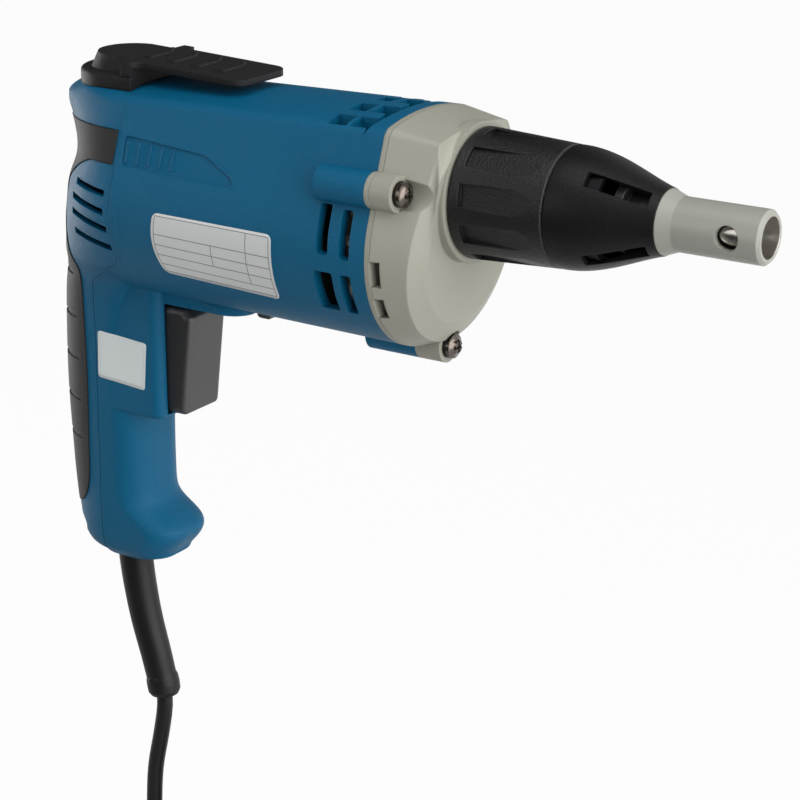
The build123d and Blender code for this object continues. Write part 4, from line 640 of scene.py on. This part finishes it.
def painted(name, colour, gloss, peel=520.0, relief=0.12, edge=0.0008, tube=None):
    """Stoved paint on metal, with a painted highlight on the edges. A tube is painted black as shade inside
    its sleeve, and bare in its bore.
    """
    finish = Finish(name)
    where = finish.place()
    ripple = finish.noise(where, peel, 2.0)
    dust = finish.noise(where, 2400.0, 2.0)
    drift = finish.noise(where, 30.0, 3.0)
    softened = finish.soft_edges(edge)
    body = finish.blend(drift, shade(colour, 0.96), shade(colour, 1.03))
    body = finish.blend(finish.ramp(dust, 0.58, 0.72) * 0.25, body, shade(colour, 0.9))
    if tube is not None:
        sleeve_end, middle, bore = tube
        along = finish.make("ShaderNodeSeparateXYZ", {}, {"Vector": where}, "X")
        out = finish.make("ShaderNodeVectorMath", {"operation": "SUBTRACT"}, {0: where, 1: middle})
        across = finish.make("ShaderNodeVectorMath", {"operation": "MULTIPLY"}, {0: out, 1: (0.0, 1.0, 1.0)})
        radius = finish.make("ShaderNodeVectorMath", {"operation": "LENGTH"}, {0: across}, "Value")
        bare = 1 - finish.ramp(radius, bore, bore + paint_edge)
        # Inside the sleeve the tube is painted black: painted shade where the sleeve covers it.
        clear_of_sleeve_shade = finish.ramp(along, sleeve_end - 0.003, sleeve_end - 0.001)
        body = finish.blend(bare, body, bore_steel)
        body = finish.blend(clear_of_sleeve_shade, sleeve_shade_black, body)
        finish.join(finish.shader, {"Metallic": bare})
    finish.shader.inputs["Specular IOR Level"].default_value = 0.3
    finish.join(finish.shader, {
        # Edges painted lighter: a painted highlight along the broken edges.
        "Base Color": finish.blend(finish.edge_mask(softened) * 0.35, body, shade(colour, 1.18)),
        "Roughness": gloss + 0.1 * (drift - 0.5) + 0.08 * (dust - 0.5),
        "Normal": finish.bump(ripple * 0.7 + dust * 0.3, relief, 0.0002, softened),
    })
    return finish.material


grey_paint = painted("grey_paint", ink(144, 143, 132), 0.42)
nose_bore = 0.0069
nose_low, nose_high = (Vector(corner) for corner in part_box("locator_nose"))
nose_tube = (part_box("locator_sleeve")[1][0], (nose_low + nose_high) / 2, nose_bore)
nose_paint = painted("nose_paint", ink(140, 141, 133), 0.34, 700.0, 0.08, 0.0005, nose_tube)
dress(grey_paint, "gear_housing", "bearing_plate")
dress(nose_paint, "locator_nose")


# Steel pieces: screws, washers, shafts, bearings and the bit holder.
# Turned ones show fine rings across the axis; the outside screws are black chromed.

def steel(name, colour, gloss, streak=(30.0, 1.0, 1.0), scale=900.0, relief=0.05, edge=0.0003):
    """Bare or plated steel with fine machining marks."""
    finish = Finish(name)
    marks = finish.noise(finish.place(streak), scale / max(streak), 3.0)
    drift = finish.noise(finish.place(), 60.0, 3.0)
    softened = finish.soft_edges(edge)
    finish.shader.inputs["Metallic"].default_value = 1.0
    finish.join(finish.shader, {
        "Base Color": finish.blend(marks * 0.5 + drift * 0.5, shade(colour, 0.88), shade(colour, 1.06)),
        "Roughness": gloss + 0.18 * (marks - 0.5) + 0.1 * (drift - 0.5),
        "Normal": finish.bump(marks, relief, 0.0001, softened),
    })
    return finish.material


bright_steel = steel("bright_steel", ink(178, 174, 168), 0.24)
plain_steel = steel("plain_steel", ink(176, 176, 178), 0.32)
black_chrome = steel("black_chrome", ink(104, 96, 90), 0.24, (1.0, 1.0, 1.0), 500.0)
dark_steel = steel("dark_steel", ink(52, 48, 46), 0.38, (1.0, 1.0, 1.0), 500.0)
dress(bright_steel, "bit_holder")
dress(black_chrome, "housing_screws", "cover_screws")
dress(dark_steel, "screw_washers")
dress(
    plain_steel, "armature_shaft", "front_bearing", "rear_bearing", "stator_screws", "hook_screw",
    "clamp_screws", "brush_springs", "thrust_washer",
)
# The spindle and the locator carrier are given dark steel as painted shade, so that the sleeve's slot shows
# dark.
dress(dark_steel, "spindle")
dress(steel("gear_steel", ink(150, 148, 146), 0.4), "drive_gear")
dress(steel("carrier_shade_steel", ink(40, 40, 42), 0.45), "locator_carrier")
bush_bronze = steel("bush_bronze", ink(170, 128, 82), 0.5, (1.0, 1.0, 1.0), 1400.0, 0.2)
dress(bush_bronze, "spindle_bush", "tail_bush")
dress(steel("pin_brass", ink(196, 172, 112), 0.28), "plug_pins", "brush_holders")


# Springs of trigger and clutch: each is remade as one smooth steel wire,
# the trigger's carried by the tool and the clutch's by the gear.

merge_gap = 0.000001


def pressed_spring(node, body):
    """The wire of one spring solid, as one smooth steel mesh carried by a body."""
    mesh = bmesh.new()
    mesh.from_mesh(solids[node].data)
    bmesh.ops.remove_doubles(mesh, verts=mesh.verts, dist=merge_gap)
    for face in mesh.faces:
        face.smooth = True
        face.material_index = 0
    data = bpy.data.meshes.new(node + "_wire")
    mesh.to_mesh(data)
    mesh.free()
    data.materials.append(plain_steel)
    wire = linked(node + "_wire", data)
    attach(wire, body)
    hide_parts(node)
    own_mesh(wire)


pressed_spring("trigger_spring", "tool")
pressed_spring("clutch_spring", "gear")


# Motor inside the barrel: stacked laminations, enamelled copper, carbon and pale mouldings.
# Cores are pressed from sheet, coils wound from wire, and the fan sits on the shaft's front end.

def striped(name, colour, dark, pitch, metallic, gloss):
    """Sheets or wires laid side by side along the tool, one dark line to each."""
    finish = Finish(name)
    where = finish.place()
    bands = finish.make("ShaderNodeTexWave", {"wave_type": "BANDS", "bands_direction": "X"}, {
        "Vector": where, "Scale": 2 * math.pi / 20 / pitch, "Distortion": 0.4, "Detail": 1.0,
    })
    finish.shader.inputs["Metallic"].default_value = metallic
    finish.join(finish.shader, {
        "Base Color": finish.blend(bands, dark, colour),
        "Roughness": gloss + 0.15 * (finish.noise(where, 300.0) - 0.5),
        "Normal": finish.bump(bands, 0.5, 0.0002, finish.soft_edges(0.0003)),
    })
    return finish.material


dress(striped("laminations", ink(120, 118, 118), ink(62, 60, 60), 0.0005, 1.0, 0.45),
      "stator_core", "armature_core")
dress(striped("enamelled_wire", ink(176, 92, 48), ink(88, 38, 18), 0.0008, 0.9, 0.35),
      "stator_coils", "armature_winding")
dress(steel("bar_copper", ink(190, 112, 72), 0.3), "commutator")
dress(moulded("brush_carbon", ink(40, 40, 42), 0.6, 0.3), "carbon_brushes")
dress(moulded("fan_nylon", ink(176, 172, 160), 0.5, 0.3), "cooling_fan")
dress(moulded("inner_nylon", ink(38, 38, 40), 0.5, 0.3),
      "switch_body", "capacitor", "fan_baffle", "cord_clamp", "bearing_boot")
